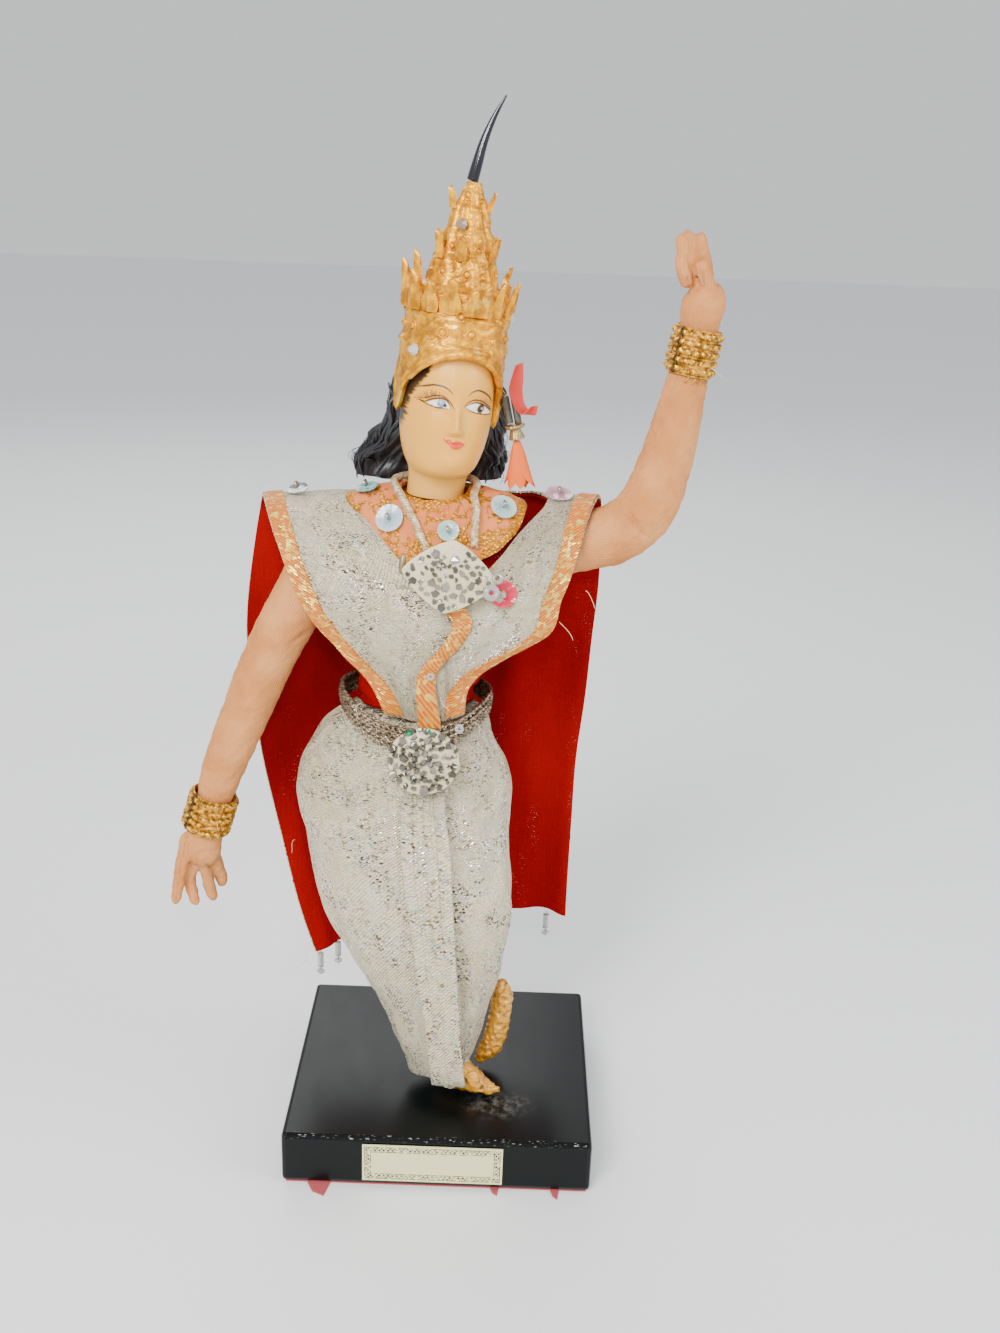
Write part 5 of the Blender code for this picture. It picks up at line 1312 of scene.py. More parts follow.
left_white = [
    (-6.98, 5.59), (-5.86, 6.22), (-4.82, 6.63), (-3.6, 6.8), (-2.56, 6.38), (-1.79, 5.23),
    (-2.7, 5.05), (-4.1, 4.99), (-5.49, 5.12),
]
right_white = [
    (1.8, 5.7), (2.95, 6.36), (4.4, 6.7), (6.00, 6.5), (7.6, 5.7), (9.2, 4.3),
    (7.14, 4.12), (4.87, 4.5), (3.11, 5.05),
]
left_eye, right_eye = filled(left_white), filled(right_white)
paint(left_eye, WHITE)
paint(right_eye, WHITE)
paint(round_spot(-3.80, 5.98, 0.98) * left_eye, (0.16, 0.24, 0.36))
paint(round_spot(-3.95, 6.30, 0.55, 0.3) * left_eye, (0.42, 0.54, 0.66), 0.8)
paint(round_spot(-2.98, 5.60, 0.42) * left_eye, BLACK)
paint(drawn([(-4.7, 5.5), (-4.72, 6.2), (-4.3, 6.8)], (0.10, 0.14, 0.10)) * left_eye, BLACK, 0.8)
paint(round_spot(6.05, 5.35, 1.02) * right_eye, (0.025, 0.016, 0.012))
# Painted highlights: white dots on the irises where light glints on the eyes.
paint(round_spot(6.40, 5.45, 0.24), WHITE)
paint(round_spot(6.90, 4.72, 0.20), WHITE)
paint(round_spot(-2.31, 5.42, 0.17), WHITE)
for line, wide, tint in (
    ([(-9.30, 8.57), (-7.69, 9.28), (-5.96, 9.94), (-4.08, 10.0), (-2.62, 9.42), (-1.27, 8.26)],
     (0.16, 0.42, 0.46, 0.42, 0.3, 0.1), BLACK),
    ([(2.21, 8.38), (3.19, 9.35), (4.65, 9.78), (6.35, 9.31), (8.13, 8.18), (9.70, 6.59)],
     (0.12, 0.32, 0.44, 0.46, 0.4, 0.2), BLACK),
    ([(-8.6, 6.3), (-7.2, 6.55), (-5.6, 7.45), (-3.9, 7.72), (-2.66, 7.12), (-1.69, 6.25),
      (-0.91, 5.15)],
     (0.14, 0.34, 0.44, 0.4, 0.34, 0.34, 0.16), MAROON),
    ([(1.53, 5.85), (2.52, 6.88), (4.10, 7.45), (5.89, 7.23), (7.56, 6.40), (9.70, 4.75)],
     (0.16, 0.34, 0.42, 0.42, 0.38, 0.26), MAROON),
    ([(-9.54, 6.03), (-8.50, 5.72), (-7.38, 5.72), (-6.40, 6.38), (-5.13, 6.92), (-3.78, 7.16),
      (-2.76, 6.8), (-2.09, 5.98), (-1.61, 5.1)],
     (0.12, 0.24, 0.34, 0.4, 0.44, 0.4, 0.3, 0.26, 0.16), BLACK),
    ([(-9.35, 6.00), (-8.12, 5.60), (-6.55, 5.14), (-4.92, 4.86), (-3.54, 4.90), (-2.0, 5.02)],
     (0.14, 0.24, 0.3, 0.34, 0.3, 0.12), BLACK),
    ([(1.73, 5.75), (2.92, 6.44), (4.38, 6.80), (6.01, 6.58), (7.68, 5.75), (9.5, 4.30)],
     (0.14, 0.26, 0.34, 0.44, 0.4, 0.26), BLACK),
    ([(1.73, 5.71), (3.11, 4.96), (4.87, 4.38), (7.14, 4.00), (9.8, 3.66)],
     (0.12, 0.26, 0.32, 0.3, 0.18), BLACK),
):
    paint(drawn(line, wide), tint)
for (x0, z0), (x1, z1) in (
    ((-8.27, 5.95), (-9.11, 6.66)), ((-7.81, 6.21), (-8.62, 7.24)), ((-7.35, 6.45), (-8.2, 7.55)),
    ((-7.1, 6.6), (-7.81, 7.95)), ((-6.62, 6.9), (-7.2, 8.37)), ((-6.15, 7.15), (-6.61, 8.68)),
    ((-5.65, 7.3), (-5.95, 8.86)), ((-5.15, 7.44), (-5.26, 8.82)), ((-4.6, 7.5), (-4.55, 8.6)),
    ((-6.85, 6.75), (-7.5, 8.1)), ((-5.9, 7.22), (-6.25, 8.75)), ((-5.4, 7.38), (-5.6, 8.8)),
    ((5.72, 7.12), (5.99, 8.05)), ((6.38, 6.94), (7.01, 7.9)), ((7.13, 6.55), (8.06, 7.44)),
    ((7.83, 6.00), (9.05, 6.68)), ((8.33, 5.51), (9.65, 5.9)), ((8.75, 5.05), (9.9, 5.25)),
    ((6.78, 6.75), (7.55, 7.7)), ((7.5, 6.28), (8.6, 7.08)),
):
    bend = ((x0 + x1) / 2 - 0.10, (z0 + z1) / 2)
    paint(drawn([(x0, z0), bend, (x1, z1)], (0.20, 0.15, 0.07), 0.08), BLACK)
lips = [
    (-2.84, -1.96), (-1.99, -2.2), (-1.27, -2.1), (-0.56, -2.46), (-0.16, -2.62), (0.56, -2.22),
    (1.36, -2.36), (2.76, -3.15), (2.05, -3.85), (0.83, -4.22), (-0.26, -4.1), (-1.15, -3.5),
    (-2.02, -2.74),
]
paint(filled(lips, 0.2), (0.80, 0.045, 0.012))
parting = [(-2.7, -2.02), (-1.4, -2.72), (-0.1, -3.1), (1.3, -3.04), (2.6, -3.12)]
paint(drawn(parting, (0.08, 0.16, 0.08)), (0.42, 0.01, 0.005), 0.8)
# Painted highlights: two pale dots where light glints on the lips.
paint(round_spot(-1.25, -2.75, 0.15) + round_spot(-0.75, -3.0, 0.13), (1.0, 0.62, 0.45), 0.8)
flat = np.column_stack((np.clip(colour, 0, 1), np.ones(len(colour))))
head.data.attributes.new("paint", "FLOAT_COLOR", "POINT").data.foreach_set("color", flat.ravel())
skin = Coat("painted_face", coat_roughness=0.2, specular_ior_level=0.3)
brushed = skin.node("ShaderNodeAttribute", {"attribute_name": "paint"})
grain = skin.noise(skin.place(), 420, 3)
skin.vary(base_color=skin.mix(grain * 0.10, brushed, (0.70, 0.32, 0.05)))
skin.vary(roughness=0.34 + grain * 0.08, coat_weight=0.12)
skin.relief(skin.noise(skin.stretch(skin.place(), 1, 1, 0.12), 1900, 2), 0.00003, 0.35)
dress(head, skin, "painted_face", "head")


# Hair
# Black glossy fibre glued round the head under the crown: a thick mass with wavy locks
# laid over it, and stray hairs at its edges.
black_hair = Coat("black_hair", roughness=0.38, coat_weight=0.25, coat_roughness=0.3)
strands_along = black_hair.stretch(black_hair.place(), 1, 1, 0.09)
fibres = black_hair.noise(strands_along, 2600, 3, 0.6)
black_hair.vary(base_color=black_hair.mix(fibres, (0.0015, 0.0018, 0.0026), (0.020, 0.023, 0.030)))
black_hair.relief(fibres, 0.00018, 0.8)
HAIR_ROWS = [
    (188.2, -8.2, 9.8, 17.6, 4.4), (191.6, -8, 9.8, 18.4, 5), (194.8, -7.2, 9.6, 18, 5.6),
    (198.6, -6, 7.2, 16.2, 7.8), (204, -4.2, 5.2, 14, 9.8), (210, -3.2, 5.4, 13.5, 9.4),
    (216, -2.8, 5.4, 12.6, 9.4), (221, -2.4, 4.8, 11.2, 9.2),
]


def hair_at(turn, v, out=0.0):
    z, x, y, across, deep = flow(HAIR_ROWS, np.clip(v, 0, 1) * 7).T
    locks = 0.75 * np.cos(9 * turn + 0.45 * z) + 0.35 * np.cos(0.9 * z + 3 * turn)
    locks += 0.30 * np.cos(31 * turn + 0.5 * z) + out
    return np.column_stack((x + (across + locks) * np.sin(turn), y + (deep + locks) * np.cos(turn), z))


def hair_surface(u, v):
    close = np.sqrt(np.clip(np.minimum(v, 1 - v) / 0.04, 0, 1))
    place = hair_at(FULL_TURN * u, v)
    centre = flow(HAIR_ROWS, np.clip(v, 0, 1) * 7)[:, 1:3]
    place[:, :2] = centre + (place[:, :2] - centre) * close[:, None]
    return place


hair = ringed("hair_mass", 240, 60, hair_surface)
dress(hair, black_hair, "black_hair", "hair")
draw = np.random.default_rng(81)
locks = []
for k in range(54):
    turn = draw.uniform(-2.25, 2.25)
    steps = np.linspace(0, 1, 26)
    start, end = draw.uniform(0.62, 0.86), draw.uniform(0.0, 0.16)
    sway = draw.uniform(0.6, 1.5) * np.sin(steps * draw.uniform(9, 15) + draw.uniform(0, 7))
    path = hair_at(turn + 0.05 * sway, start + (end - start) * steps, 0.35 + 0.45 * sway)
    size = draw.uniform(0.5, 0.95)
    lock = strand(f"lock_{k}", path, size, 6, twist=draw.uniform(1, 3), strands=3,
                  taper=np.interp(steps, (0, 0.15, 0.75, 1), (0.3, 1, 0.9, 0.15)))
    locks.append(lock)
dress(join("hair_locks", locks), black_hair, "black_hair")
stray = []
for k in range(34):
    turn = draw.choice((-1, 1)) * draw.uniform(1.2, 1.9)
    steps = np.linspace(0, 1, 20)
    top = draw.uniform(0.3, 0.7)
    path = hair_at(turn + 0 * steps, top - draw.uniform(0.15, 0.4) * steps, 0.3)
    curl = 1.6 * np.sin(steps * draw.uniform(2, 5))
    path[:, 0] += np.sign(turn) * curl * draw.uniform(0.5, 1.6)
    path[:, 1] -= 0.5 * curl
    stray.append(strand(f"stray_{k}", path, 0.07, 4))
dress(join("stray_hairs", stray), black_hair, "black_hair")


# Crown
# A tall stepped crown moulded in relief and painted gold: an arched band with a flap before
# each ear, rows of ringed bosses, leaf points and three glued rhinestones. A curved horn of
# black lacquer stands on its top.
gilt = Coat("gilt", coat_roughness=0.25, specular_ior_level=0.4)
spot = gilt.place()
rough_cast = gilt.noise(spot, 330, 5, 0.6)
tone = gilt.mix(gilt.step(rough_cast, 0.36, 0.62), (0.50, 0.19, 0.0), (0.95, 0.44, 0.002))
pale_spots = gilt.step(gilt.noise(spot, 240, 3), 0.60, 0.72)
tone = gilt.mix(pale_spots * 0.5, tone, (1.0, 0.72, 0.16))
chipped = gilt.step(gilt.noise(spot, 520, 4, 0.7), 0.70, 0.74)
gilt.vary(base_color=gilt.mix(chipped * 0.9, tone, (0.09, 0.04, 0.015)))
gilt.vary(metallic=0.55 - chipped * 0.5, roughness=0.30 + rough_cast * 0.16)
gilt.relief(rough_cast + gilt.noise(spot, 1500, 2) * 0.3, 0.0005, 0.5)
CROWN_TIERS = [
    (0, 13), (17.4, 12.7), (18.6, 13.2), (19.8, 12.5), (24.2, 12.3), (25.4, 12.9), (26.6, 12.2),
    (31.4, 11), (32.4, 8.8), (38.2, 7.4), (39, 6.9), (39.6, 6.3), (43.8, 6.1), (44.6, 5.5),
    (45.2, 5), (49.8, 4.3), (50.6, 3.6), (54.8, 1.9), (56, 1.7),
]
TIER_HEIGHTS, TIER_RADII = np.array(CROWN_TIERS).T
RIDGES = [
    [(-95, 18.6), (-67, 19.3), (-39, 19.9), (-22, 19.7), (-8, 19.5), (20, 18.6), (60, 17.2)],
    [(-95, 25.8), (-43, 26.3), (-25, 26.4), (0, 26.5), (38, 24.6), (80, 24)],
    [(-70, 20.6), (-54, 21.7), (-34, 25.1)],
    [(-34, 25.1), (-16, 23.2), (-6, 25.9)],
    [(-6, 25.9), (16, 22.6), (34, 24.2)],
]


def crown_edge(side):
    """The crown's lower edge: an arch over the brow, a long flap before each ear."""
    arch = 16.9 - 6.6 * np.minimum(1, np.abs(side)) ** 2
    longest = np.where(side < 0, 9.0, 11.4)
    return arch - longest * np.exp(-(((np.abs(side) - 1.5) / 0.25) ** 2))


def on_crown(side, z, out=0.0):
    """The crown's face: side is the angle from its front, z the height on the head."""
    side, z, out = (np.asarray(k, float) for k in np.broadcast_arrays(side, z, out))
    radius = np.interp(z, TIER_HEIGHTS, TIER_RADII) + out
    fit = np.clip((32 - z) / 8, 0, 1)
    low = np.clip((10 - z) / 12, 0, 1)
    x = (radius - 0.6 * low) * np.sin(side)
    return on_head(x, 0.6 * fit - (radius + 1.4 * fit) * np.cos(side), z)


def crown_surface(u, v):
    side = FULL_TURN * (u - 0.5)
    edge = crown_edge(side)
    inner = v < 0.12
    rise = np.clip((v - 0.12) / 0.84, 0, 1)
    z = np.where(inner, edge + 5 * (1 - v / 0.12), edge + (55.6 - edge) * rise)
    z = np.where(v > 0.96, 55.6, z)
    from_edge = z - edge
    out = 0.55 * np.exp(-(((from_edge - 0.9) / 0.5) ** 2))
    out += 0.4 * np.exp(-(((from_edge - 2.5) / 0.35) ** 2))
    for ridge in RIDGES:
        line = flow(ridge, np.linspace(0, len(ridge) - 1, 60))
        away = np.hypot((np.degrees(side)[:, None] - line[:, 0]) * 0.22, z[:, None] - line[:, 1]).min(1)
        out += 0.42 * np.exp(-((away / 0.38) ** 2))
    cast = on_crown(side, z)
    out += wobble(cast, 2.2, 91) * 0.13 + wobble(cast, 1.1, 92) * 0.07
    flute = np.clip((z - 32.5) / 1, 0, 1) * np.clip((55 - z) / 4, 0, 1)
    out += 0.22 * flute * np.cos(13 * side + 0.3 * z)
    out = np.where(inner, -1.25 * np.clip((0.12 - v) / 0.02, 0, 1), out)
    reach = np.clip(v / 0.02, 0, 1) * np.clip((1 - v) / 0.04, 0, 1)
    place = on_crown(side, z, out)
    axis = on_head(0, 0, z)
    return axis + (place - axis) * reach[:, None]


crown = ringed("gilt_crown", 220, 150, crown_surface)
crown_parts = [crown]


def toward(side):
    """The way that the crown's face looks at a side, out from the head."""
    return tuple((on_head(math.sin(side), -math.cos(side), 0.1) - HEAD_PLACE)[0])


def boss(side, z, size):
    """A dome in a raised ring, pressed on the crown."""
    side = math.radians(side)
    place = on_crown(side, z, 0.05)[0]
    ring = ball("boss_ring", (0, 0, 0), 0.86 * size, (1, 1.1, 1), 0.58 * size)
    dome = ball("boss_dome", (0, 0, 0), 0.56 * size, (1, 1.1, 0.9))
    return [sit(ring, place, toward(side)), sit(dome, place, toward(side))]


front_bosses = (
    (-67, 22.3, 1.5), (-27, 22.3, 1.5), (4, 22.6, 1.5), (32, 21.4, 1.45), (-50, 29.4, 1.2),
    (-23, 29.7, 1.45), (-2, 28.8, 1.1), (24, 28.6, 1.3), (-48, 35.4, 1.35), (-6, 35.4, 1.35),
    (24, 35, 1), (-44, 41.2, 1.25), (16, 40.8, 1.15), (-34, 52.6, 1.4), (30, 51.6, 0.9),
    (-88, 22.2, 1.3), (62, 21.6, 1.4), (52, 29, 1.2), (62, 35.6, 1), (52, 46.6, 0.9),
)
back_bosses = [(turn, 22.2, 1.4) for turn in range(96, 265, 28)]
back_bosses += [(turn, 29.2, 1.2) for turn in range(84, 285, 28)]
back_bosses += [(turn, 35.4, 1.1) for turn in range(110, 280, 42)]
back_bosses += [(turn, 41.2, 1.0) for turn in range(76, 285, 52)]
for side, z, size in (*front_bosses, *back_bosses):
    crown_parts += boss(side, z, size)


def leaf(side, base, tip, wide):
    """One pointed leaf with a rib, standing out from the crown."""
    def surface(u, v):
        half = wide * (1 - v**1.7) ** 0.9 * (0.82 + 0.35 * np.sin(math.pi * np.minimum(v * 1.4, 1)))
        across = (2 * u - 1) * half
        angle = side + across / 12.4
        out = 0.25 + 0.8 * v + 0.55 * np.exp(-((across / 0.35) ** 2)) - 0.25 * (2 * u - 1) ** 2
        low_point = on_crown(angle, np.full_like(u, base), out)
        return low_point + (on_head(0, 0, base + (tip - base) * v) - on_head(0, 0, base))

    return thin("leaf", 8, 14, surface, (1, 1), 0.9, -1)


for side, base, tip, wide in (
    (-108, 26.4, 35.6, 2.2), (-88, 26.2, 36.4, 1.9), (-66, 26.4, 34.6, 2.3), (-44, 26.6, 33, 2),
    (-22, 26.8, 34.4, 2.2), (2, 26.8, 32.4, 2), (16, 26.8, 33.6, 1.7), (36, 26.6, 35.2, 2.2),
    (58, 26.2, 33.4, 2), (80, 26, 34.6, 2.4), (104, 26.4, 33.4, 2.2), (128, 26.4, 35, 2.2),
    (152, 26.4, 33.6, 2.2), (176, 26.4, 35, 2.2), (200, 26.4, 33.6, 2.2), (226, 26.4, 35, 2.2),
    (-62, 38.4, 44, 1.5), (-20, 38.4, 43.4, 1.5), (44, 38.4, 44.6, 1.5), (100, 38.4, 43.6, 1.5),
    (160, 38.4, 44, 1.5), (220, 38.4, 43.4, 1.5), (-84, 31.8, 38.6, 1.6), (78, 31.8, 38, 1.6),
    (-70, 49.6, 53.6, 1), (60, 49.6, 54, 1), (170, 49.6, 53.8, 1),
):
    crown_parts.append(leaf(math.radians(side), base, tip, wide))
dress(join("gilt_crown", crown_parts), gilt, "gilt", "crown")

gem = Coat("rhinestone", roughness=0.04, ior=1.6, transmission_weight=0.35)
gem.vary(base_color=gem.mix(gem.painted("brown"), (0.75, 0.76, 0.78), (0.34, 0.26, 0.20)))
gem.vary(coat_weight=1.0)
stones = ((-33, 46.2, 5.2, 1), (-57, 17.2, 12.9, 0), (75, 26.4, 12.8, 0))
for k, (side, z, radius, brown) in enumerate(stones, 1):
    side = math.radians(side)
    clear()
    bpy.ops.mesh.primitive_cone_add(vertices=8, radius1=0.0015, radius2=0.0008, depth=0.0011)
    stone = bpy.context.object
    stone.name = stone.data.name = f"cut_stone_{k}"
    store(stone, brown=brown)
    sit(stone, on_crown(side, z, 0.95)[0], toward(side), 0.3)
    dress(stone, gem, "grey_glass", f"crown_stone_{k}")
    claw = ball(f"stone_ring_{k}", (0, 0, 0), 1.35, (1, 1, 0.8), 0.8)
    dress(sit(claw, on_crown(side, z, 0.35)[0], toward(side)), gilt, "gilt")

HORN_ROWS = [
    (2.05, -5, 262.4, 1.4, 1.4), (3, -4.9, 266, 1.3, 1.3), (4.6, -4.6, 271.6, 1, 1),
    (6.8, -4.2, 276.8, 0.65, 0.65), (9.4, -3.8, 281.4, 0.22, 0.22),
]
horn_black = Coat("horn_black", roughness=0.16, coat_weight=0.5)
horn_black.grain(200, (0.002, 0.002, 0.004), (0.012, 0.014, 0.026))
horn = ringed("black_horn", 32, 90, around(HORN_ROWS, (0, -1, 0), 0.02))
dress(horn, horn_black, "black_lacquer", "crown_horn")


# Ear ornament
# Two smoky bugle beads on a thread hold a tarnished brass cap with five orange paper petals.
# A bent scrap of red ribbon is stuck beside them.
tassel_red = Coat("ribbon_red", roughness=0.62)
ribbon_place = tassel_red.cloth()
threads = tassel_red.noise(tassel_red.stretch(ribbon_place, 14, 0.7), 60, 2)
tassel_red.vary(base_color=tassel_red.mix(threads, (0.42, 0.012, 0.01), (0.66, 0.045, 0.022)))
tassel_red.relief(threads, 0.0002, 0.5)
RIBBON_ROWS = [
    (14.6, 221.4, 0.9), (14.2, 217.6, 1.5), (14, 214.8, 1.6), (14.9, 211.8, 1.5),
    (17.2, 209.4, 1.7), (18.6, 211.4, 0.9),
]


def ribbon_surface(u, v):
    x, z, half = flow(RIBBON_ROWS, v * 5).T
    side = 2 * u - 1
    curl = 0.5 * side**2 + 0.25 * np.sin(9 * v)
    return np.column_stack((x + side * half, -7.9 + 0.8 * side - curl, z + 0.3 * side * np.cos(5 * v)))


scrap = thin("ear_ribbon_scrap", 14, 70, ribbon_surface, (0.003, 0.02), 0.3)
dress(scrap, tassel_red, "red_cotton", "ear_ribbon")
EAR_TOP, EAR_END = np.array((12.4, -6.1, 213.5)), np.array((13.9, -6.1, 206.7))
ear_down = (EAR_END - EAR_TOP) / np.linalg.norm(EAR_END - EAR_TOP)
for k, shift in enumerate((-1.05, 1.05), 1):
    middle = (EAR_TOP + EAR_END) / 2 + (shift, 0, 0)
    clear()
    bpy.ops.mesh.primitive_cylinder_add(vertices=28, radius=0.0009, depth=0.0069)
    bugle = bpy.context.object
    bugle.name = bugle.data.name = f"smoky_bugle_{k}"
    bore = strand("bore", np.array([(0, 0, -4.0), (0, 0, 0), (0, 0, 4.0)]), 0.34, 12)
    cut = bugle.modifiers.new("bore", "BOOLEAN")
    cut.operation, cut.solver, cut.object = "DIFFERENCE", "EXACT", bore
    pick(bugle)
    bpy.ops.object.modifier_apply(modifier="bore")
    bpy.data.objects.remove(bore)
    bugle = smooth(finish(bugle, "BEVEL", width=0.0001, segments=2, limit_method="ANGLE"), 40)
    dress(sit(bugle, middle, tuple(-ear_down)), smoky, "grey_glass", f"ear_bugle_{k}")
path = [EAR_TOP + step for step in ((-2.6, 0.4, 2.2), (-1.05, 0, 0.5), (-1, 0, -2))]
thread = strand("ear_thread", path, 0.1, 6)
dress(thread, silver_cord, "grey_glass")
cap_start = EAR_END + 0.3 * ear_down
cap_rows = [(*(cap_start + ear_down * depth), radius, radius) for depth, radius in (
    (0, 2.3), (0.5, 2.4), (0.9, 2.1), (1.2, 1.3), (2.2, 1.5), (3.4, 1.9), (3.6, 1.6))]
brass = Coat("tarnished_brass", metallic=0.85)
brass_grain = brass.noise(brass.place(), 700, 4, 0.6)
tone = brass.mix(brass_grain, (0.16, 0.10, 0.03), (0.62, 0.48, 0.22))
brass.vary(base_color=tone, roughness=0.26 + brass_grain * 0.3)
brass.relief(brass_grain, 0.0002, 0.5)
cap = ringed("brass_cap", 40, 60, around(cap_rows, (0, -1, 0), 0.02))
flutes = corners(cap)
spoke = flutes - cap_start
spoke -= np.outer(spoke @ ear_down, ear_down)
reach = np.linalg.norm(spoke, axis=1)
flute_wave = 1 + 0.05 * np.cos(12 * np.arctan2(spoke[:, 1], spoke[:, 0]))
move(cap, flutes - spoke + spoke * flute_wave[:, None])
dress(cap, brass, "old_brass", "tassel_cap")
paper = Coat("orange_paper", roughness=0.7)
paper_place = paper.cloth()
fibre = paper.noise(paper.stretch(paper_place, 6, 0.8), 34, 3)
paper.vary(base_color=paper.mix(fibre, (0.70, 0.085, 0.004), (0.95, 0.19, 0.012)))
paper.relief(fibre, 0.0003, 0.5)
petal_root = cap_start + ear_down * 3.6 - (0, 0, 0.5)
petals = []
for k in range(7):
    spread = FULL_TURN * (k + 0.3) / 7

    def petal_surface(u, v, spread=spread, k=k):
        depth = v * (11.4 + 0.8 * math.cos(5 * spread))
        wide = np.interp(v, (0, 0.3, 0.7, 0.88, 1), (0.6, 1.4, 1.7, 1.2, 0.06))
        away = np.interp(v, (0, 0.3, 0.7, 1), (0.6, 1.6, 2.7, 3.9 - 0.5 * (k % 3)))
        across = (2 * u - 1) * wide
        cup = 0.35 * ((2 * u - 1) ** 2) * wide
        x = (away - cup) * np.cos(spread) - across * np.sin(spread)
        y = 0.68 * ((away - cup) * np.sin(spread) + across * np.cos(spread))
        return petal_root + np.column_stack((x + 0.1 * depth, y, -depth))

    petals.append(thin(f"petal_{k}", 12, 26, petal_surface, (0.004, 0.011), 0.3))
dress(join("paper_petals", petals), paper, "orange_petal", "tassel_petals")


# Torso
# A red cotton body stuffed firm, creased where the belt and the panels of the shawl press it.
TORSO_ROWS = [
    (-9, -5, 130.9, 15.4, 10.4), (-9, -5, 140, 15.6, 10.6), (-6.8, -5, 150, 18.8, 12.4),
    (-4.2, -4.8, 160, 22.2, 13.6), (-3.6, -4.5, 168, 22.6, 12.8), (-3.6, -4.2, 176, 22.2, 11.2),
    (-3.8, -4, 182, 19.8, 9), (-4.2, -4, 185.4, 12.8, 7.4), (-4.4, -4, 186.4, 8.4, 6.4),
]
torso = ringed("cotton_body", 90, 80, around(TORSO_ROWS, (0, 1, 0), 0.03))
body = corners(torso)
press = 0.5 * np.exp(-(((body[:, 2] - 134) / 2.5) ** 2))
creases = 0.35 * np.sin(body[:, 2] * 1.3 + 0.5 * body[:, 0]) * np.exp(-(((body[:, 2] - 139) / 6) ** 2))
swell(torso, creases - press + 0.12 * wobble(body, 5, 31))
dress(torso, red_cotton, "red_cotton", "torso")


# Arms
# Stuffed tubes of peach knit, narrow at the wrist, each with a flat padded hand whose
# fingers are sewn apart. The knit's fine ribs run down the limb. The sewn lines between the
# fingers are pressed in and darkened with painted shade.
LEFT_ARM = [
    (-26.5, -5.4, 177, 5.2), (-30, -6, 174, 6.8), (-35, -6.8, 167.5, 7.3),
    (-39.4, -7.4, 159.8, 7.2), (-47.2, -7.8, 144.5, 6.8), (-55.1, -8, 125.4, 6.2),
    (-60.4, -8, 112, 5.6), (-63, -8, 103.6, 4.8), (-65.7, -8, 95, 4.6),
    (-66.5, -8, 89.6, 4.8), (-66.4, -8, 85.4, 4.4), (-66.2, -8, 82.8, 2.8),
]
LEFT_FINGERS = [
    [(-70.2, -10.6, 94), (-72.2, -11.6, 84), (-74.3, -12, 71.6)],
    [(-69.4, -8, 84.6), (-70.9, -8.4, 77.5), (-69, -8.6, 69.8)],
    [(-66.8, -8.4, 84), (-65.6, -8.6, 77.2), (-64.2, -8.6, 71.6)],
    [(-64.4, -6.6, 85.4), (-63, -5.2, 78.4), (-62.5, -5, 74.2)],
]
RIGHT_ARM = [
    (17, -5, 173.4, 5.4), (22, -5.4, 174.6, 7), (33.9, -6, 177.9, 7.5),
    (41.3, -6.2, 180.4, 7.6), (47.9, -6.4, 187, 7.4), (51.7, -6.4, 199, 6.6),
    (54, -6.2, 210.6, 5.7), (55, -6.1, 216.8, 5.2), (55.8, -6, 221.6, 4.5),
    (57, -6, 229.4, 4.4), (57.7, -6, 235, 5.2), (57.9, -6, 238.6, 4.9),
    (57.3, -6, 241.6, 3.4),
]
RIGHT_FINGERS = [
    [(59.2, -8.6, 239), (57, -10.6, 244), (55.3, -11, 247.2)],
    [(58.6, -6.6, 240.4), (56.9, -6.6, 247.4), (55.3, -6.6, 253.2)],
    [(55.8, -6.4, 240.8), (53.9, -6.4, 247.4), (52.4, -6.6, 253.8)],
    [(54.6, -7.4, 240.6), (52.4, -8, 247.2), (50.7, -8.2, 252.6)],
    [(53.8, -8, 240.4), (51.8, -9.6, 245.2), (51, -9.8, 248.2)],
]
knit = Coat("peach_knit", roughness=0.9, specular_ior_level=0.1)
ribs = (knit.painted("rib") * 12.0).math("SINE") * 0.5 + 0.5
loops = knit.noise(knit.stretch(knit.place(), 1, 1, 0.5), 1700, 2)
soil = knit.noise(knit.place(), 85, 3)
tone = knit.mix(knit.step(soil, 0.30, 0.70), (0.62, 0.235, 0.07), (0.80, 0.36, 0.13))
tone = knit.mix(ribs * 0.22 + loops * 0.22, tone, (0.45, 0.17, 0.05))
# The seam value darkens the knit along the sewn lines between the fingers: painted shade.
knit.vary(base_color=knit.mix(knit.painted("seam"), tone, (0.34, 0.14, 0.07)))
knit.relief(ribs * 0.6 + loops, 0.00022, 0.7)


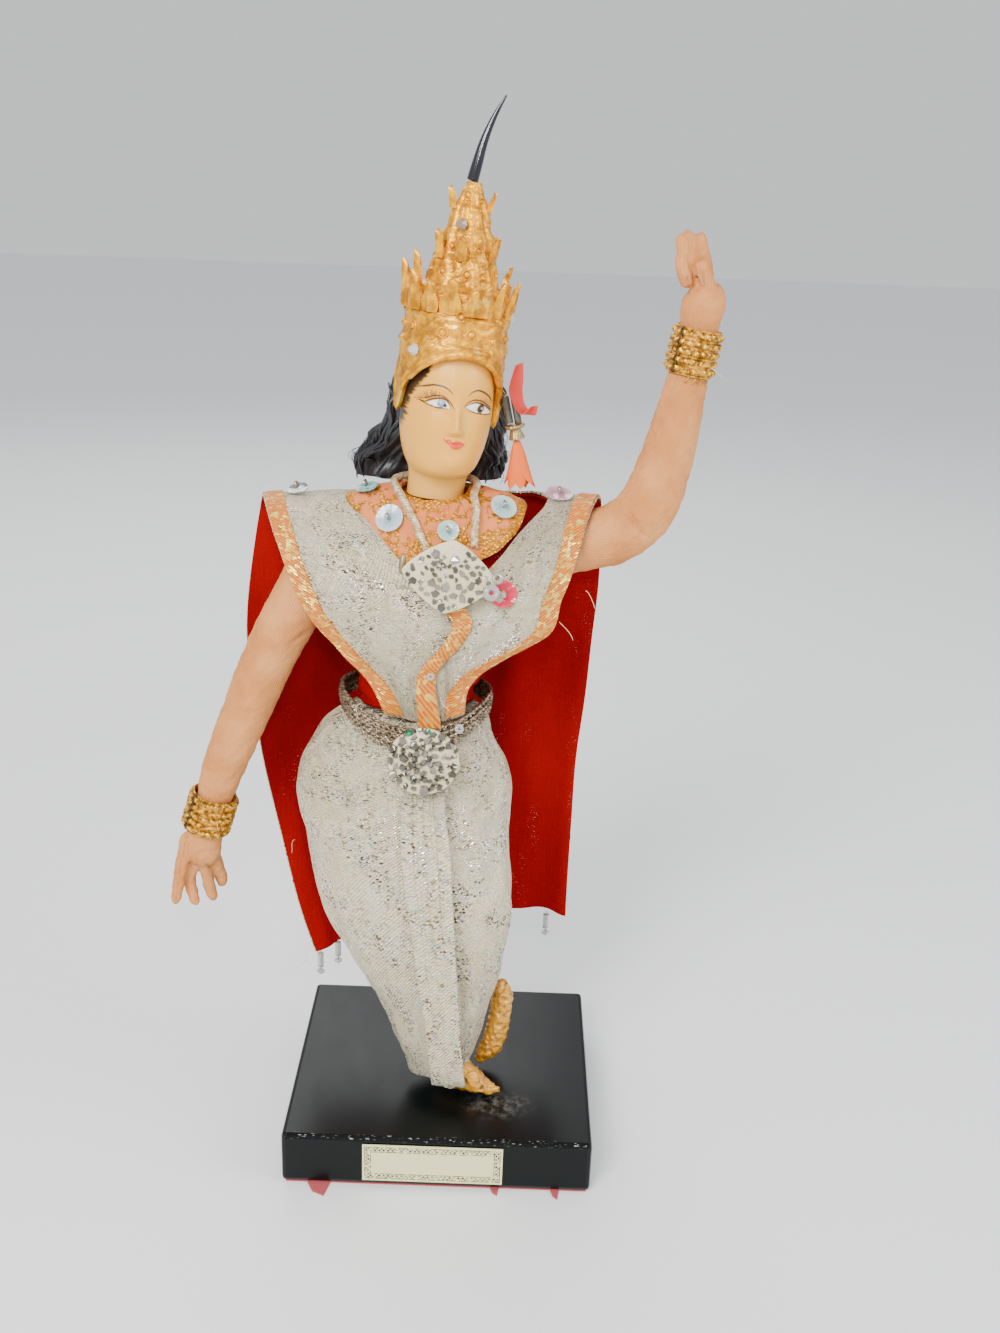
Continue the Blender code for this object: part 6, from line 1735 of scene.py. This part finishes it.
def stuffed_arm(name, rows, fingers, creases, seams):
    """One stuffed limb: the tube and its fingers melt together, then creases are pressed in."""
    parts = [ringed(name, 40, 170, around([(*row, row[3]) for row in rows], (0, -1, 0), 0.05))]
    for number, finger in enumerate(fingers):
        thick = [(*finger[0], 1.7, 1.7), (*finger[1], 1.75, 1.7), (*finger[2], 1.45, 1.35)]
        parts.append(ringed(f"{name}_{number}", 20, 50, around(thick, (0, -1, 0.1), 0.16)))
    arm = join(name, parts)
    arm = finish(arm, "REMESH", mode="VOXEL", voxel_size=0.00055, use_smooth_shade=True)
    arm = finish(arm, "SMOOTH", factor=0.5, iterations=5)
    points = corners(arm)
    path = flow(rows, np.linspace(0, len(rows) - 1, 300))[:, :3]
    nearest = np.empty(len(points), int)
    for low in range(0, len(points), 8000):
        part = points[low:low + 8000, None] - path
        nearest[low:low + 8000] = (part**2).sum(2).argmin(1)
    run = np.gradient(path, axis=0)
    run = unit(run)
    side = unit(np.cross(run, (0, -1, 0)))
    up = np.cross(side, run)
    away = points - path[nearest]
    turn = np.arctan2((away * up[nearest]).sum(1), (away * side[nearest]).sum(1))
    amount = 0.10 * wobble(points, 3.2, 41) + 0.05 * wobble(points, 1.5, 42)
    for (x, z), angle, length, deep in creases:
        along = (points[:, 0] - x) * math.cos(angle) + (points[:, 2] - z) * math.sin(angle)
        across = (points[:, 2] - z) * math.cos(angle) - (points[:, 0] - x) * math.sin(angle)
        across += 0.04 * along**2
        amount -= deep * np.exp(-((across / 0.55) ** 2) - (along / length) ** 2)
        amount += 0.5 * deep * np.exp(-(((np.abs(across) - 1.3) / 0.7) ** 2) - (along / length) ** 2)
    # The sewn lines between the fingers are pressed in, and painted shade darkens them on the front.
    seam_shade = np.zeros(len(points))
    for seam in seams:
        line = flow(seam, np.linspace(0, len(seam) - 1, 60))
        gap = np.hypot(points[:, 0, None] - line[:, 0], points[:, 2, None] - line[:, 1]).min(1)
        on_front = away[:, 1] < 1.0
        amount -= 0.3 * np.exp(-((gap / 0.3) ** 2)) * on_front
        seam_shade = np.maximum(seam_shade, np.exp(-((gap / 0.22) ** 2)) * on_front * 0.6)
    swell(arm, amount)
    store(arm, rib=turn * 6, seam=seam_shade)
    return smooth(arm)


for name, solid, rows, fingers, creases, seams in (
    ("stuffed_arm_left", "left_arm", LEFT_ARM, LEFT_FINGERS,
     [((-38, 152), 0.5, 3.0, 0.35), ((-52, 131), -0.2, 3.5, 0.25), ((-60, 116), 0.1, 3, 0.25),
      ((-66, 88.5), 0.2, 3, 0.3), ((-68.5, 86.2), 0.9, 2, 0.25)],
     [[(-70.2, 93), (-72, 84), (-73.8, 73.6)],
      [(-67.9, 86), (-68.2, 80)], [(-65.5, 86), (-65, 82)]]),
    ("stuffed_arm_right", "right_arm", RIGHT_ARM, RIGHT_FINGERS,
     [((44.5, 184.2), 2.2, 3.5, 0.75), ((42.6, 186.2), 2.5, 3.0, 0.5), ((46.5, 182.0), 1.9, 2.8, 0.4),
      ((56.5, 237.5), 0.3, 3, 0.3), ((50.5, 196), 1.3, 2.5, 0.2)],
     [[(57, 241), (56, 244.5)], [(55, 241), (54.3, 244)], [(53.6, 240.6), (53, 243)]]),
):
    arm = stuffed_arm(name, rows, fingers, creases, seams)
    dress(arm, knit, "peach_knit", solid)


# Cuffs
# Gold braid sewn round each wrist in five rows of slanting stitches, with the braid's dark
# ends meeting at the seam. A zigzag of loose thread shows under the right cuff.
braid = Coat("gold_braid", metallic=0.75)
braid_place = braid.place()
worn = braid.noise(braid_place, 900, 3)
tone = braid.mix(braid.step(worn, 0.35, 0.65), (0.26, 0.11, 0.008), (0.90, 0.50, 0.06))
braid.vary(base_color=braid.mix(braid.painted("dark"), tone, (0.055, 0.03, 0.015)))
braid.vary(roughness=0.30 + worn * 0.2)
braid.relief(worn, 0.0002, 0.6)


def braid_cuff(name, solid, low, high, wrist, seam_turn):
    """One braided cuff between two points of the wrist; gives the function that places on it."""
    low, high = np.array(low, float), np.array(high, float)
    axis = (high - low) / np.linalg.norm(high - low)
    side = np.cross(axis, (0, -1, 0))
    side /= np.linalg.norm(side)
    up = np.cross(side, axis)
    middle = (low + high) / 2

    def place(turn, out, rise):
        turn, out, rise = (np.asarray(k, float) for k in np.broadcast_arrays(turn, out, rise))
        spoke = side * np.cos(turn)[:, None] + up * np.sin(turn)[:, None]
        return middle + spoke * (wrist + out)[:, None] + axis * rise[:, None]

    parts = []

    def band(u, v):
        turn = FULL_TURN * u
        bends = (0, 0.06, 0.44, 0.5, 0.56, 0.94, 1)
        outer = np.interp(v, bends, (0.35, 0.75, 0.75, 0.35, 0.3, 0.3, 0.35))
        rise = np.interp(v, bends, (-5.3, -5.2, 5.2, 5.3, 5.2, -5.2, -5.3))
        return place(turn, outer, rise)

    base = lay(name, 96, 30, band)
    edit(base, weld, face_out)
    parts.append(base)
    turns = np.linspace(0, FULL_TURN, 181)[:-1]
    for row in range(5):
        way = 1 if row % 2 else -1
        line = place(turns, 0.85, -4.2 + 2.1 * row)
        parts.append(strand(f"{name}_row", line, 0.78, 6, twist=30 * way, strands=2, closed=True))
    for edge in (-5.25, 5.25):
        bound = place(turns, 0.62, edge + 0.08 * np.sin(40 * turns))
        parts.append(strand(f"{name}_edge", bound, 0.3, 6, closed=True))
    seam = np.linspace(-5.2, 5.2, 30)
    sewn = place(seam_turn + 0.03 * np.sin(2.2 * seam), 0.95, seam)
    parts.append(strand(f"{name}_seam", sewn, 0.42, 8))
    cuff = join(name, parts)
    points = corners(cuff) - middle
    turn = np.arctan2(points @ up, points @ side)
    near_seam = np.exp(-((np.angle(np.exp(1j * (turn - seam_turn))) / 0.10) ** 2))
    store(cuff, dark=near_seam)
    dress(smooth(cuff, 50), braid, "gold_braid", solid)
    return place


braid_cuff("braid_cuff_left", "left_cuff", (-62.9, -8.0, 104.2), (-66.0, -8.0, 94.0), 5.2, 0.75)
right_wrist = (55.5, -6, 220.6), (57.3, -6, 230.8)
right_place = braid_cuff("braid_cuff_right", "right_cuff", *right_wrist, 4.8, 2.4)
steps = np.linspace(0, 1, 26)
reach, rise = 0.55 + 0.12 * np.cos(40 * steps), -6.4 + 0.6 * np.sign(np.sin(24 * steps))
zigzag = right_place(0.5 + 1.3 * steps, reach, rise)
dress(strand("wrist_zigzag", zigzag, 0.11, 6), braid, "gold_braid")


# Cape drops
# A clear bugle and a round bead hang on a stitch at each of the hem's three beaded places.
for k, (x, y, z) in enumerate(((-37.4, 9.2, 44.8), (-32.6, 12.4, 46.8), (29.2, 21.6, 53.4)), 1):
    rows = [(x, y, z - depth, radius, radius) for depth, radius in (
        (0, 0.75), (0.3, 0.9), (4.1, 0.9), (4.4, 0.75))]
    tube = ringed(f"drop_tube_{k}", 20, 30, around(rows, (0, -1, 0), 0.03))
    bead = ball(f"drop_bead_{k}", (x, y, z - 6.1), 1.2, (1, 1, 1), 0.3)
    path = [(x, y, z + 1), (x + 0.1, y, z - 3), (x, y, z - 7.4)]
    stitch = strand(f"drop_stitch_{k}", path, 0.12, 6)
    drop = join(f"hem_drop_{k}", [tube, bead, stitch])
    dress(drop, glass, "grey_glass", f"cape_drop_{k}")


# Loose threads
# Ends of sewing thread and frayed ribbon that stick out of the shawl, the cuffs and the waist.
fuzz = Coat("loose_thread", roughness=0.6)
fuzz.grain(40, (0.55, 0.36, 0.10), (0.85, 0.80, 0.66))
draw = np.random.default_rng(97)
ends = []
for x, y, z, drop, lean in (
    (-18.5, -19.6, 186.2, 5, 0.5), (-37.6, -18.4, 186, 4, -0.6), (-13.2, -21.5, 157.4, 5, 0.8),
    (-11, -21.8, 154.4, 4, 0.5), (-43.8, 5.6, 84, 4, -0.3), (-41.2, 5.8, 46.4, 5, -0.4),
    (33, -17.8, 168, 4, 0.6), (27, -19, 160, 4, 0.7), (35, 20, 60, 4, 0.5),
    (-62, -13.6, 99, 3, 0.4), (60.6, -9.6, 222.8, 3, 0.7), (-6.5, -29, 118, 4, 0.3),
    (-22, -20.8, 137, 4, -0.5), (6.5, -20.6, 133, 4, 0.6), (-2, -24.4, 141, 4, 0.5),
):
    steps = np.linspace(0, 1, 16)
    wander = draw.uniform(-0.8, 0.8, 2)
    path = np.column_stack((
        x + lean * drop * steps + wander[0] * np.sin(5 * steps),
        y - 0.9 * np.sin(math.pi * steps) * 0.8,
        z - drop * steps**1.5 + wander[1] * np.sin(4 * steps),
    ))
    ends.append(strand("end", path, 0.09, 5))
dress(join("thread_ends", ends), fuzz, "gold_braid")
